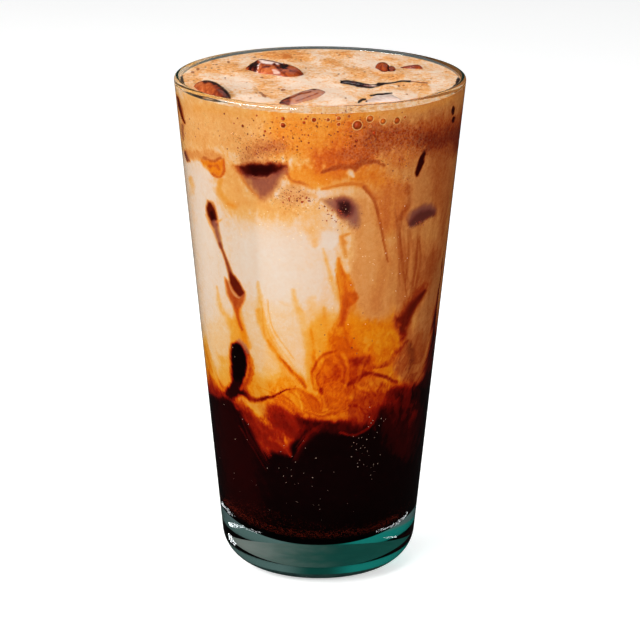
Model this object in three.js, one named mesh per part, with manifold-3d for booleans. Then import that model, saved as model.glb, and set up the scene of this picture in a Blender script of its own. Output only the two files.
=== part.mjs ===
// An iced shaken espresso: a tapered tumbler, three layers of drink, and the ice that breaks the foam.
// Millimetres, +Z up. The origin is the centre of the foot, and the front of the drink faces -Y.

import * as THREE from "three";
import { mergeVertices } from "three/addons/utils/BufferGeometryUtils.js";
import Module from "manifold-3d";

const wasm = await Module();
wasm.setup();

// Driving sizes of the tumbler
const GLASS_HEIGHT = 150;
const RIM_RADIUS = 42.95;
const HEEL_TOP_RADIUS = 29.3; // outer radius where the straight side runs into the rounded heel
const HEEL_ROUNDING = 11.2;
const LIP_WALL = 1.9;
const LOWER_WALL = 3.4;
const FLOOR_THICKNESS = 9.6;
const BOWL_ROUNDING = 25.5; // the bore ends in a round bowl

// Driving sizes of the drink
const FIT_GAP = 0.3; // clearance between neighbouring pieces
const COFFEE_TOP = 55; // mean height where black coffee gives way to milk
const FOAM_BOTTOM = 130; // mean height where milk gives way to foam
const FOAM_TOP_FRONT = 147.7; // foam against the wall at the front
const FOAM_TOP_BACK = 149.3; // foam against the wall at the back
const FOAM_DOME = 0.5; // rise of the foam at the middle over its edge
const FOAM_SKIN = 1.2; // foam left between the ice and the wall

// Fineness of the round and uneven surfaces
const ROUND_SEGMENTS = 64;
const HEEL_STEPS = 7;
const BOWL_STEPS = 9;
const COFFEE_STEPS = 12;
const LIP_STEPS = 6;
const ICE_STEPS = 5;
const INNER_RINGS = 3; // rings across the surfaces between the layers
const FOAM_RINGS = 9; // rings across the foam's top

const RIGHT_ANGLE = Math.PI / 2;
const LIP_ROUNDING = LIP_WALL / 2;
const LIP_CENTRE_HEIGHT = GLASS_HEIGHT - LIP_ROUNDING;
const SIDE_SLOPE = (RIM_RADIUS - HEEL_TOP_RADIUS) / (LIP_CENTRE_HEIGHT - HEEL_ROUNDING);
const INNER_SLOPE = SIDE_SLOPE + (LOWER_WALL - LIP_WALL) / (LIP_CENTRE_HEIGHT - FLOOR_THICKNESS);
const toRadians = THREE.MathUtils.degToRad;
const mix = THREE.MathUtils.lerp;

// Outer and inner radius of the tumbler's straight side at a height
const outerSide = (z) => HEEL_TOP_RADIUS + SIDE_SLOPE * (z - HEEL_ROUNDING);
const innerSide = (z) => RIM_RADIUS - LIP_WALL - INNER_SLOPE * (LIP_CENTRE_HEIGHT - z);

// A quarter round that starts flat on a floor and ends along a side that leans outward
class FloorRound {
  constructor(floor, rounding, slope, side) {
    this.floor = floor;
    this.rounding = rounding;
    this.lean = Math.atan(slope);
    this.top = floor + rounding * (1 - Math.sin(this.lean));
    this.centre = side(this.top) - rounding * Math.cos(this.lean);
  }

  radiusAt(z) {
    const drop = this.floor + this.rounding - z;
    return this.centre + Math.sqrt(Math.max(this.rounding ** 2 - drop ** 2, 0));
  }

  points(steps) {
    const points = [];
    for (let i = 0; i <= steps; i++) {
      const angle = mix(-RIGHT_ANGLE, -this.lean, i / steps);
      points.push(
        new THREE.Vector2(
          this.centre + this.rounding * Math.cos(angle),
          this.floor + this.rounding * (1 + Math.sin(angle)),
        ),
      );
    }
    return points;
  }
}

const heel = new FloorRound(0, HEEL_ROUNDING, SIDE_SLOPE, outerSide);
const bowl = new FloorRound(FLOOR_THICKNESS, BOWL_ROUNDING, INNER_SLOPE, innerSide);
const drinkSide = (z) => innerSide(z) - FIT_GAP;
const drinkBowl = new FloorRound(
  FLOOR_THICKNESS + FIT_GAP,
  BOWL_ROUNDING - FIT_GAP,
  INNER_SLOPE,
  drinkSide,
);

// The tumbler: solid base, rounded heel, thin wall and rounded lip
function tumblerProfile() {
  const lip = [];
  const lipCentre = RIM_RADIUS - LIP_ROUNDING;
  for (let i = 0; i <= LIP_STEPS; i++) {
    const angle = (Math.PI * i) / LIP_STEPS;
    lip.push(
      new THREE.Vector2(
        lipCentre + LIP_ROUNDING * Math.cos(angle),
        LIP_CENTRE_HEIGHT + LIP_ROUNDING * Math.sin(angle),
      ),
    );
  }
  return [
    new THREE.Vector2(0, 0),
    ...heel.points(HEEL_STEPS),
    ...lip,
    ...bowl.points(BOWL_STEPS).reverse(),
    new THREE.Vector2(0, FLOOR_THICKNESS),
  ];
}

// Radius that the drink fills at a height, from the bowl up the straight side
const drinkRadius = (z) => (z < drinkBowl.top ? drinkBowl.radiusAt(z) : drinkSide(z));

// Height of the boundary between coffee and milk: low at the front, high at both sides, and swirled
function coffeeTop(angle, share) {
  const dip = -8 * Math.exp(-((angle / 0.75) ** 2));
  const swirl = 1.6 * Math.sin(3 * angle + 0.6) + 1.1 * Math.sin(5 * angle);
  return COFFEE_TOP + share * (dip + swirl + 3);
}

// Height of the boundary between milk and foam, which sags where milk hangs from the foam
function foamBottom(angle, share) {
  const sag = 1.6 * Math.sin(2 * angle + 0.9) + 0.9 * Math.sin(5 * angle + 2);
  return FOAM_BOTTOM + share * sag;
}

// The foam's broad mounds, each with a place, a height and a reach
const FOAM_MOUNDS = [
  { x: -8, y: 33, rise: 0.7, reach: 9 },
  { x: 8, y: 36, rise: 0.6, reach: 6 },
  { x: 19, y: 34, rise: 0.7, reach: 7 },
  { x: 2, y: 4, rise: 0.6, reach: 12 },
  { x: 27, y: 5, rise: 0.5, reach: 9 },
  { x: -22, y: -20, rise: 0.5, reach: 8 },
  { x: -27, y: 17, rise: 0.6, reach: 9 },
  { x: 6, y: -24, rise: 0.4, reach: 8 },
];

// Height of the foam's top: tilted up to the back, domed, with mounds and small ripples
function foamTop(angle, share) {
  const reach = share * drinkRadius(FOAM_TOP_FRONT);
  const x = reach * Math.sin(angle);
  const y = -reach * Math.cos(angle);
  const toBack = (1 - share * Math.cos(angle)) / 2;
  const edgeFade = 1 - share ** 8;
  const dome = FOAM_DOME * (1 - share ** 2);
  const mounds = FOAM_MOUNDS.map(
    (mound) => mound.rise * Math.exp(-((x - mound.x) ** 2 + (y - mound.y) ** 2) / mound.reach ** 2),
  ).reduce((sum, rise) => sum + rise);
  const ripples = 0.22 * Math.sin(0.55 * x + 0.3 * y) + 0.18 * Math.sin(0.62 * y - 0.35 * x + 1);
  return mix(FOAM_TOP_FRONT, FOAM_TOP_BACK, toBack) + dome + edgeFade * (mounds * 0.6 + ripples);
}

// One layer of drink: a lathe of unit size whose points move out to the glass and to its two surfaces.
// Side rings close up towards the bottom as crowd rises over 1.
function drinkLayer({ bottomAt, topAt, topRings = INNER_RINGS, sideSteps, crowd = 1 }) {
  const profile = [];
  for (let i = 0; i <= INNER_RINGS; i++) profile.push(new THREE.Vector2(i / INNER_RINGS, 0));
  for (let i = 1; i < sideSteps; i++) profile.push(new THREE.Vector2(1, (i / sideSteps) ** crowd));
  for (let i = topRings; i >= 0; i--) profile.push(new THREE.Vector2(i / topRings, 1));
  const geometry = new THREE.LatheGeometry(profile, ROUND_SEGMENTS);
  geometry.rotateX(RIGHT_ANGLE);
  const position = geometry.getAttribute("position");
  for (let i = 0; i < position.count; i++) {
    const share = Math.hypot(position.getX(i), position.getY(i));
    const angle = Math.atan2(position.getX(i), -position.getY(i));
    const z = mix(bottomAt(angle, share), topAt(angle, share), position.getZ(i));
    const radius = share * drinkRadius(z);
    position.setXYZ(i, radius * Math.sin(angle), -radius * Math.cos(angle), z);
  }
  return geometry;
}

// A block of half-melted ice: a box whose corners are rounded off, narrowed towards its top by narrow
// and towards its +X end by point. grow adds clearance all round, for the pocket that it sits in.
function iceBlock({ size, narrow = 0, point = 0, squareness = 5 }, grow = 0) {
  const geometry = new THREE.BoxGeometry(2, 2, 2, ICE_STEPS, ICE_STEPS, ICE_STEPS);
  const position = geometry.getAttribute("position");
  const half = size.map((length) => length / 2 + grow);
  for (let i = 0; i < position.count; i++) {
    const corner = [position.getX(i), position.getY(i), position.getZ(i)];
    const reach = Math.max(...corner.map(Math.abs));
    const rounded = corner.reduce((sum, c) => sum + Math.abs(c) ** squareness, 0) ** (1 / squareness);
    const [x, y, z] = corner.map((c) => (c * reach) / rounded);
    const width = (1 - (narrow * (1 + z)) / 2) * (1 - (point * (1 + x)) / 2);
    position.setXYZ(i, x * half[0], y * half[1] * width, z * half[2]);
  }
  return geometry;
}

// The ice that shows at the top. at is the middle of the block, turn its heading about the vertical,
// and tip its lean about its own long and short sides, in degrees.
const ICE = {
  ice_ridge: [
    { size: [20, 17.5, 13], narrow: 0.55, point: 0.23, at: [-12.8, 9.2, 145.2], turn: -41, tip: [17.5, 1] },
  ],
  ice_wedge: [
    {
      size: [25.3, 17, 13.2],
      narrow: 0.48,
      point: 0.49,
      squareness: 2.5,
      at: [-30.2, -16, 144.4],
      turn: -65.5,
      tip: [8.5, 2],
    },
  ],
  ice_slope: [
    {
      size: [22, 18, 11.7],
      narrow: 0.59,
      point: 0.25,
      squareness: 3.5,
      at: [-5, -23.4, 144],
      turn: 53.5,
      tip: [9, -4],
    },
  ],
  ice_lobes: [
    { size: [4.8, 12.3, 11.6], point: 0.49, squareness: 2.5, at: [18.9, 12.5, 145.5], turn: 17.5, tip: [0, -1] },
    { size: [3, 7.3, 8.2], point: 0.4, squareness: 3, at: [20.9, 11.5, 146.2], turn: -7.5, tip: [18, 8.5] },
  ],
  ice_flat: [
    { size: [8.4, 3, 11.6], narrow: 0.32, point: 0.32, at: [27.8, 16.1, 144.6], turn: -11, tip: [22, -12] },
  ],
  ice_slab: [
    { size: [23, 6.6, 10.3], narrow: 0.73, point: 0.73, at: [16.3, -7.4, 144.4], turn: -12.5, tip: [27, 8.5] },
  ],
  ice_clear: [
    { size: [14.7, 15.7, 11], narrow: 0.1, point: 0.24, at: [16.3, -24, 143.2], turn: 20, tip: [0, -6] },
  ],
};

// Merges a geometry's shared vertices into a closed solid
function solidOf(geometry) {
  const bare = geometry.clone();
  bare.deleteAttribute("normal");
  bare.deleteAttribute("uv");
  const merged = mergeVertices(bare, 1e-4);
  return new wasm.Manifold(
    new wasm.Mesh({
      numProp: 3,
      vertProperties: new Float32Array(merged.getAttribute("position").array),
      triVerts: new Uint32Array(merged.index.array),
    }),
  );
}

// Turns a solid back into a geometry
function geometryOf(solid) {
  const mesh = solid.getMesh();
  const geometry = new THREE.BufferGeometry();
  geometry.setAttribute("position", new THREE.BufferAttribute(mesh.vertProperties, 3));
  geometry.setIndex(new THREE.BufferAttribute(mesh.triVerts, 1));
  geometry.computeVertexNormals();
  return geometry;
}

// The room that the ice may fill: the bore of the tumbler less a skin of foam
function iceRoom(grow) {
  const low = FOAM_BOTTOM;
  const high = GLASS_HEIGHT + HEEL_ROUNDING;
  const radiusAt = (z) => drinkRadius(z) - FOAM_SKIN + grow;
  return new THREE.LatheGeometry(
    [
      new THREE.Vector2(0, low),
      new THREE.Vector2(radiusAt(low), low),
      new THREE.Vector2(radiusAt(high), high),
      new THREE.Vector2(0, high),
    ],
    ROUND_SEGMENTS,
  ).rotateX(RIGHT_ANGLE);
}

// The blocks of one ice piece, placed, joined and kept clear of the wall
function iceSolid(blocks, grow = 0) {
  return blocks
    .map((block) => {
      const place = new THREE.Object3D();
      place.position.set(...block.at);
      place.rotation.set(...block.tip.map(toRadians), toRadians(block.turn), "ZYX");
      place.updateMatrix();
      return solidOf(iceBlock(block, grow).applyMatrix4(place.matrix));
    })
    .reduce((joined, block) => joined.add(block))
    .intersect(solidOf(iceRoom(grow)));
}

// Foam with a pocket round every piece of ice
function foamSolid() {
  const foam = solidOf(
    drinkLayer({
      bottomAt: (angle, share) => foamBottom(angle, share) + FIT_GAP,
      topAt: foamTop,
      topRings: FOAM_RINGS,
      sideSteps: 2,
    }),
  );
  return Object.values(ICE)
    .map((blocks) => iceSolid(blocks, FIT_GAP))
    .reduce((left, pocket) => left.subtract(pocket), foam);
}

const MATERIALS = {
  glass: new THREE.MeshStandardMaterial({
    color: 0xbfe0d8,
    roughness: 0.05,
    metalness: 0,
    transparent: true,
    opacity: 0.35,
  }),
  coffee: new THREE.MeshStandardMaterial({ color: 0x1c0603, roughness: 0.3, metalness: 0 }),
  milk: new THREE.MeshStandardMaterial({ color: 0xd9a878, roughness: 0.45, metalness: 0 }),
  foam: new THREE.MeshStandardMaterial({ color: 0xe5a55c, roughness: 0.8, metalness: 0 }),
  ice: new THREE.MeshStandardMaterial({ color: 0x7a3216, roughness: 0.15, metalness: 0 }),
};

const drink = new THREE.Group();

function addPiece(name, geometry, material) {
  const mesh = new THREE.Mesh(geometry, material);
  mesh.name = name;
  drink.add(mesh);
}

addPiece(
  "glass",
  new THREE.LatheGeometry(tumblerProfile(), ROUND_SEGMENTS).rotateX(RIGHT_ANGLE),
  MATERIALS.glass,
);
addPiece(
  "coffee",
  drinkLayer({
    bottomAt: () => drinkBowl.floor,
    topAt: coffeeTop,
    sideSteps: COFFEE_STEPS,
    crowd: 2,
  }),
  MATERIALS.coffee,
);
addPiece(
  "milk",
  drinkLayer({
    bottomAt: (angle, share) => coffeeTop(angle, share) + FIT_GAP,
    topAt: foamBottom,
    sideSteps: 3,
  }),
  MATERIALS.milk,
);
addPiece("foam", geometryOf(foamSolid()), MATERIALS.foam);
for (const [name, blocks] of Object.entries(ICE)) {
  addPiece(name, geometryOf(iceSolid(blocks)), MATERIALS.ice);
}

export default drink;
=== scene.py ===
# An iced shaken espresso in its tumbler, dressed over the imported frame.
# Shapes are worked out in millimetres and angles from the front, and meshes are made in metres.
import math

import bpy
import numpy as np
from mathutils import Euler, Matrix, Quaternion, Vector


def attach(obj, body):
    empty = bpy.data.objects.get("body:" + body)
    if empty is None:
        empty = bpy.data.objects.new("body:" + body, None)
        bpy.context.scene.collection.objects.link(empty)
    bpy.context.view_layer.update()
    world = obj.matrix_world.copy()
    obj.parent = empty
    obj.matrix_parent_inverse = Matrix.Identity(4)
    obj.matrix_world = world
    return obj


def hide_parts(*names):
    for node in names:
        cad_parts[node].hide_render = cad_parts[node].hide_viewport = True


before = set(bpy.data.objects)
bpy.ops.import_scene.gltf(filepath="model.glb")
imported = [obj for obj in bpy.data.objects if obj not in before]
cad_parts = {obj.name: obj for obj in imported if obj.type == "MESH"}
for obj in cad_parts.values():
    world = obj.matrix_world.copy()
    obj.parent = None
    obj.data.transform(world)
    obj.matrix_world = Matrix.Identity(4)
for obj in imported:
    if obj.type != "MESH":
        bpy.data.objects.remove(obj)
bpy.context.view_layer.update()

MM = 0.001
FULL_TURN = 2 * math.pi

# Sizes of the tumbler
GLASS_HEIGHT = 150.0
RIM_RADIUS = 42.95
HEEL_TOP_RADIUS = 29.3
HEEL_ROUNDING = 11.2
LIP_WALL = 1.9
LOWER_WALL = 3.4
FLOOR_THICKNESS = 9.6
BOWL_ROUNDING = 25.5
GROUND_HEIGHT = 3.0  # the lowest part of the heel is ground, not polished
GLASS_IOR = 1.5

# Sizes of the drink
FOAM_SKIN = 1.2  # how much foam stands between the ice and the wall
INTO_WALL = 0.2  # how far the drink reaches into the glass, so that no air shows between them
COFFEE_TOP = 55.0
FOAM_BOTTOM = 130.0
FOAM_TOP_FRONT = 147.7
FOAM_TOP_BACK = 149.3
FOAM_DOME = 0.5

LIP_ROUNDING = LIP_WALL / 2
LIP_CENTRE_HEIGHT = GLASS_HEIGHT - LIP_ROUNDING
SIDE_SLOPE = (RIM_RADIUS - HEEL_TOP_RADIUS) / (LIP_CENTRE_HEIGHT - HEEL_ROUNDING)
INNER_SLOPE = SIDE_SLOPE + (LOWER_WALL - LIP_WALL) / (LIP_CENTRE_HEIGHT - FLOOR_THICKNESS)

# The camera of the photograph: a long lens a metre away that looks down on the glass
CAMERA_ELEVATION = math.radians(16.16)
CAMERA_DISTANCE = 1013.5
CAMERA_ROLL = math.radians(0.23)
CAMERA_ASIDE = 0.25
PICTURE_SIDE = 640
FOCAL_PIXELS = 3377.3
SENSOR_WIDTH = 36.0
PIXELS_A_RADIAN = 138.0  # the width of a radian of the drink's side, where it faces the camera
AIM_HEIGHT = GLASS_HEIGHT / 2
CAMERA_PLACE = np.array([
    CAMERA_ASIDE,
    -CAMERA_DISTANCE * math.cos(CAMERA_ELEVATION),
    AIM_HEIGHT + CAMERA_DISTANCE * math.sin(CAMERA_ELEVATION),
])

# Fineness of the meshes. The drink's is close to one pixel of the photograph at the front.
FRONT_COLUMNS = 330
BACK_COLUMNS = 125
FOAM_BACK_COLUMNS = 230  # the foam's top shows at the back too
COFFEE_ROWS = 130
MILK_ROWS = 212
FOAM_ROWS = 52
FOAM_TOP_RINGS = 90
COVERED_TOP_RINGS = 3  # on a top that lies under the next layer
POLE_SHARE = 0.002  # the middle of a surface is a tiny ring, so that every face has four corners
FOOT_SHARES = (POLE_SHARE, 0.5, 1.0)
TUMBLER_COLUMNS = 192
TUMBLER_POLE = 0.05  # and the same in the middle of the tumbler
HEEL_STEPS = 20
BOWL_STEPS = 28
LIP_STEPS = 16
OUTSIDE_POINTS = 14
INSIDE_POINTS = 12
ICE_STEPS = 40

# How points behind the glass are found
TRACE_ROUNDS = 12
SEARCH_ROUNDS = 40
EASING = 0.7  # the share of each correction that is taken, so that the search settles
NEAR_ONE = 0.98  # keeps sines off the edge of the glass
LOWEST_MIRROR = 0.5  # the lowest height that mirrors a light
FLOOR_GAP = 0.2  # how far over the floor a mirrored light stands
NUDGE = 0.05  # the step in height that shows how the outside leans


# Shapes of the glass and the drink

def outer_side(z):
    """Outer radius of the straight side at a height."""
    return HEEL_TOP_RADIUS + SIDE_SLOPE * (z - HEEL_ROUNDING)


def inner_side(z):
    """Inner radius of the straight side at a height."""
    return RIM_RADIUS - LIP_WALL - INNER_SLOPE * (LIP_CENTRE_HEIGHT - z)


class FloorRound:
    """A quarter round from a flat floor to a side that leans outward."""

    def __init__(self, floor, rounding, slope, side):
        self.floor = floor
        self.rounding = rounding
        self.lean = math.atan(slope)
        self.top = floor + rounding * (1 - math.sin(self.lean))
        self.centre = side(self.top) - rounding * math.cos(self.lean)

    def radius_at(self, z):
        drop = self.floor + self.rounding - z
        return self.centre + np.sqrt(np.maximum(self.rounding**2 - drop**2, 0))

    def points(self, steps):
        """Rows of radius and height from the floor up."""
        angle = np.linspace(-math.pi / 2, -self.lean, steps + 1)
        run, rise = np.cos(angle), 1 + np.sin(angle)
        return np.column_stack([self.centre + self.rounding * run, self.floor + self.rounding * rise])


def drink_side(z):
    """Radius of the drink on the straight side, just inside the wall's own thickness."""
    return inner_side(z) + INTO_WALL


HEEL = FloorRound(0, HEEL_ROUNDING, SIDE_SLOPE, outer_side)
BOWL = FloorRound(FLOOR_THICKNESS, BOWL_ROUNDING, INNER_SLOPE, inner_side)
DRINK_BOWL = FloorRound(FLOOR_THICKNESS - INTO_WALL, BOWL_ROUNDING + INTO_WALL, INNER_SLOPE, drink_side)


def drink_radius(z):
    """Radius of the drink at a height, from the bowl up the straight side."""
    return np.where(z < DRINK_BOWL.top, DRINK_BOWL.radius_at(z), drink_side(z))


# The wavy tops of the coffee and the milk: rise, number of waves round the glass, and start
COFFEE_WAVES = [(1.6, 3, 0.6), (1.1, 5, 0)]
MILK_WAVES = [(1.6, 2, 0.9), (0.9, 5, 2)]
COFFEE_CLIMB = 3.0  # how far the coffee climbs towards the wall
COFFEE_DIP = 8.0  # and how far it dips at the front
COFFEE_DIP_REACH = 0.75  # in radians to each side


def waves_round(angle, waves):
    """How high some waves stand at an angle."""
    return sum(rise * np.sin(number * angle + start) for rise, number, start in waves)


def coffee_top(angle, share):
    """Height where black coffee gives way to milk."""
    dip = -COFFEE_DIP * np.exp(-((angle / COFFEE_DIP_REACH) ** 2))
    return COFFEE_TOP + share * (dip + waves_round(angle, COFFEE_WAVES) + COFFEE_CLIMB)


def foam_bottom(angle, share):
    """Height where milk gives way to foam."""
    return FOAM_BOTTOM + share * waves_round(angle, MILK_WAVES)


# Broad mounds of the foam's top: x, y, rise and reach
FOAM_MOUNDS = [
    (-8, 33, 0.7, 9), (8, 36, 0.6, 6), (19, 34, 0.7, 7), (2, 4, 0.6, 12),
    (27, 5, 0.5, 9), (-22, -20, 0.5, 8), (-27, 17, 0.6, 9), (6, -24, 0.4, 8),
]
# Its ripples: rise, radians a millimetre along x and y, and start
FOAM_RIPPLES = [(0.22, 0.55, 0.3, 0), (0.18, -0.35, 0.62, 1)]
MOUND_SHARE = 0.6
RIPPLE_SHARE = 0.45
EDGE_FADE_POWER = 8  # mounds and ripples fade out close to the wall

# The blocks of half-melted ice in the foam. at is the middle, turn the heading, and tip the lean
# about the long and short sides, in degrees.
ICE = {
    "ice_ridge": [
        dict(size=(20, 17.5, 13), narrow=0.55, point=0.23, at=(-12.8, 9.2, 145.2), turn=-41, tip=(17.5, 1)),
    ],
    "ice_wedge": [
        dict(size=(25.3, 17, 13.2), narrow=0.48, point=0.49, squareness=2.5,
             at=(-30.2, -16, 144.4), turn=-65.5, tip=(8.5, 2)),
    ],
    "ice_slope": [
        dict(size=(22, 18, 11.7), narrow=0.59, point=0.25, squareness=3.5,
             at=(-5, -23.4, 144), turn=53.5, tip=(9, -4)),
    ],
    "ice_lobes": [
        dict(size=(4.8, 12.3, 11.6), point=0.49, squareness=2.5,
             at=(18.9, 12.5, 145.5), turn=17.5, tip=(0, -1)),
        dict(size=(3, 7.3, 8.2), point=0.4, squareness=3,
             at=(20.9, 11.5, 146.2), turn=-7.5, tip=(18, 8.5)),
    ],
    "ice_flat": [
        dict(size=(8.4, 3, 11.6), narrow=0.32, point=0.32, at=(27.8, 16.1, 144.6), turn=-11, tip=(22, -12)),
    ],
    "ice_slab": [
        dict(size=(23, 6.6, 10.3), narrow=0.73, point=0.73,
             at=(16.3, -7.4, 144.4), turn=-12.5, tip=(27, 8.5)),
    ],
    "ice_clear": [
        dict(size=(14.7, 15.7, 11), narrow=0.1, point=0.24, at=(16.3, -24, 143.2), turn=20, tip=(0, -6)),
    ],
}


def foam_top(angle, share):
    """Height of the foam's top, with its mounds and ripples."""
    reach = share * drink_radius(FOAM_TOP_FRONT)
    x, y = reach * np.sin(angle), -reach * np.cos(angle)
    to_back = (1 - share * np.cos(angle)) / 2
    mounds = sum(
        rise * np.exp(-((x - mx) ** 2 + (y - my) ** 2) / far**2) for mx, my, rise, far in FOAM_MOUNDS
    )
    ripples = sum(rise * np.sin(kx * x + ky * y + start) for rise, kx, ky, start in FOAM_RIPPLES)
    relief = (1 - share**EDGE_FADE_POWER) * (MOUND_SHARE * mounds + RIPPLE_SHARE * ripples)
    level = FOAM_TOP_FRONT + (FOAM_TOP_BACK - FOAM_TOP_FRONT) * to_back
    return level + FOAM_DOME * (1 - share**2) + relief


# Noise and curves

NOISE_CELLS = 256
NOISE_SPREAD = 1.6  # brings the sum of the layers back to about one


def smoothstep(low, high, value):
    t = np.clip((value - low) / (high - low), 0, 1)
    return t * t * (3 - 2 * t)


def mix(a, b, t):
    return a + (b - a) * t


def value_noise(x, y, seed):
    """Smooth noise from -1 to 1 on a lattice of unit cells."""
    lattice = np.random.default_rng(seed).uniform(-1, 1, (NOISE_CELLS, NOISE_CELLS))
    column, row = np.floor(x).astype(int), np.floor(y).astype(int)
    u, v = x - column, y - row
    u, v = u * u * (3 - 2 * u), v * v * (3 - 2 * v)
    column, row = column % NOISE_CELLS, row % NOISE_CELLS
    right, below = (column + 1) % NOISE_CELLS, (row + 1) % NOISE_CELLS
    top = mix(lattice[column, row], lattice[right, row], u)
    bottom = mix(lattice[column, below], lattice[right, below], u)
    return mix(top, bottom, v)


def layered_noise(x, y, seed, layers=3):
    total = sum(value_noise(x * 2**k, y * 2**k, seed + k) / 2**k for k in range(layers))
    return total / NOISE_SPREAD


def mottled(place, size, seed):
    """Layered noise in patches that are about size wide and high."""
    return layered_noise(place[0] / size[0], place[1] / size[1], seed)


def turned(radius, angle, z):
    """Points round the glass, from radius, angle and height."""
    return np.stack([radius * np.sin(angle), -radius * np.cos(angle), z], -1)


def smooth_path(points, steps=8):
    """A smooth curve through the points, as a dense polyline with a share of its length at each point."""
    p = np.array(points, float)
    if len(p) > 2:
        ends = np.vstack([2 * p[0] - p[1], p, 2 * p[-1] - p[-2]])
        t = np.linspace(0, 1, steps, endpoint=False)[:, None]
        spans = []
        for a, b, c, d in zip(ends, ends[1:], ends[2:], ends[3:]):
            curve = 2 * b + (c - a) * t + (2 * a - 5 * b + 4 * c - d) * t**2 + (3 * b - a - 3 * c + d) * t**3
            spans.append(curve / 2)
        p = np.vstack(spans + [p[-1:]])
    run = np.concatenate([[0], np.cumsum(np.hypot(*np.diff(p, axis=0).T))])
    return p, run / run[-1]


# Where the drink lies in the photograph

def photograph_pixel(x, y, z):
    """Pixel of the photograph where a point in millimetres is seen with nothing in between."""
    lift = z - AIM_HEIGHT
    depth = CAMERA_DISTANCE + y * math.cos(CAMERA_ELEVATION) - lift * math.sin(CAMERA_ELEVATION)
    up = y * math.sin(CAMERA_ELEVATION) + lift * math.cos(CAMERA_ELEVATION)
    across, down = FOCAL_PIXELS * (x - CAMERA_ASIDE) / depth, -FOCAL_PIXELS * up / depth
    roll_cos, roll_sin = math.cos(CAMERA_ROLL), math.sin(CAMERA_ROLL)
    half = PICTURE_SIDE / 2
    return half + across * roll_cos - down * roll_sin, half + across * roll_sin + down * roll_cos


def front_chart(angle, z):
    """Photograph pixel where the camera sees each point of the drink through the wall.

    The back of the drink gets the pixels of its mirror image, so that the two halves meet at the sides.
    """
    folded = np.where(np.abs(angle) <= math.pi / 2, angle, np.sign(angle) * math.pi - angle)
    outer, inner = outer_side(z), drink_radius(z)
    ratio = np.minimum(inner / outer, NEAR_ONE)
    aside = np.clip(np.sin(folded), -1, 1)
    for _ in range(TRACE_ROUNDS):
        inside = np.arcsin(np.clip(aside / (GLASS_IOR * ratio), -1, 1)) - np.arcsin(aside / GLASS_IOR)
        turn = folded + aside * outer / CAMERA_DISTANCE - inside
        aside = mix(aside, np.sin(np.clip(turn, -math.pi / 2, math.pi / 2)), EASING)
    hit = np.arcsin(aside) - aside * outer / CAMERA_DISTANCE
    through = np.hypot(
        outer * np.sin(hit) - inner * np.sin(folded), outer * np.cos(hit) - inner * np.cos(folded)
    )
    z_hit = z + through * math.tan(math.asin(math.sin(CAMERA_ELEVATION) / GLASS_IOR))
    return photograph_pixel(outer * np.sin(hit), -outer * np.cos(hit), z_hit)


def outer_radius(z):
    """Radius of the glass from outside, with its rounded heel."""
    return np.where(z < HEEL.top, HEEL.radius_at(np.minimum(z, HEEL.top)), outer_side(z))


def outside_chart(angle, z):
    """Photograph pixel of each point on the outside of the glass."""
    radius = outer_radius(z)
    return photograph_pixel(radius * np.sin(angle), -radius * np.cos(angle), z)


def place_behind_wall(x, y, chart=front_chart):
    """Angle and height on the drink's side that the camera sees at each pixel, found step by step."""
    x, y = np.asarray(x, float), np.asarray(y, float)
    pixels_a_mm = FOCAL_PIXELS / CAMERA_DISTANCE
    z = AIM_HEIGHT + (PICTURE_SIDE / 2 - y) / pixels_a_mm
    angle = np.arcsin(np.clip((x - PICTURE_SIDE / 2) / pixels_a_mm / outer_side(z), -NEAR_ONE, NEAR_ONE))
    for _ in range(SEARCH_ROUNDS):
        seen_x, seen_y = chart(angle, z)
        z = z - EASING * (y - seen_y) / pixels_a_mm
        step = (x - seen_x) / pixels_a_mm / (outer_side(z) * np.maximum(np.cos(angle), 0.3))
        angle = np.clip(angle + EASING * step, -math.pi / 2, math.pi / 2)
    return angle, z


def mirrored_in_glass(x, y):
    """Where on the floor the camera looks by way of the outside of the glass, for each pixel."""
    angle, z = place_behind_wall(x, y, outside_chart)
    z = np.maximum(z, LOWEST_MIRROR)
    spread = (outer_radius(z + NUDGE) - outer_radius(z - NUDGE)) / (2 * NUDGE)
    point = turned(outer_radius(z), angle, z)
    normal = turned(1, angle, -spread)
    normal = normal / np.linalg.norm(normal, axis=-1, keepdims=True)
    ray = point - CAMERA_PLACE
    ray = ray - 2 * (ray * normal).sum(-1, keepdims=True) * normal
    steps = (point[:, 2] - FLOOR_GAP) / np.maximum(-ray[:, 2], 1e-3)
    return point + steps[:, None] * ray


# Painting the drink's side. Marks are laid in pixels of the photograph, one over the other.
# coffee runs from 0, milk, to 1, black. clear runs from 0, milky, to 1, amber with light behind it.
# veil is the mauve of ice behind a film of milk, pepper the density of the finest dark bubbles, and dust
# the red grounds that have settled.

def stroke(path, wide, strength=1.0, soft=0.6, **brings):
    """A soft line. wide is its half width at both ends, or at start, middle and end."""
    return dict(kind="stroke", path=path, wide=wide, strength=strength, soft=soft, brings=brings)


def fold(path, reach, strength=1.0, **brings):
    """A fold of the drink: crisp along its path, and fading over its reach to the right of the path."""
    return dict(kind="fold", path=path, wide=(reach, reach), strength=strength, brings=brings)


def patch(outline, feather, strength=1.0, **brings):
    """An area inside a smooth outline, with a feathered edge."""
    closed = list(outline) + [outline[0]]
    return dict(kind="patch", path=closed, wide=(feather, feather), strength=strength, brings=brings)


def strands(path, count, spread, wide, strength, seed, **brings):
    """A bundle of fine lines along a path, each wandering a little to its side."""
    draw = np.random.default_rng(seed)
    bundle = []
    for _ in range(count):
        aside = draw.normal(0, spread, 2)
        wander = draw.normal(0, spread / 3, (len(path), 2))
        line = [tuple(point) for point in np.array(path, float) + aside + wander]
        bundle.append(stroke(line, (0.5 * wide, wide, 0.4 * wide), strength * draw.uniform(0.4, 1), **brings))
    return bundle


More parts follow.
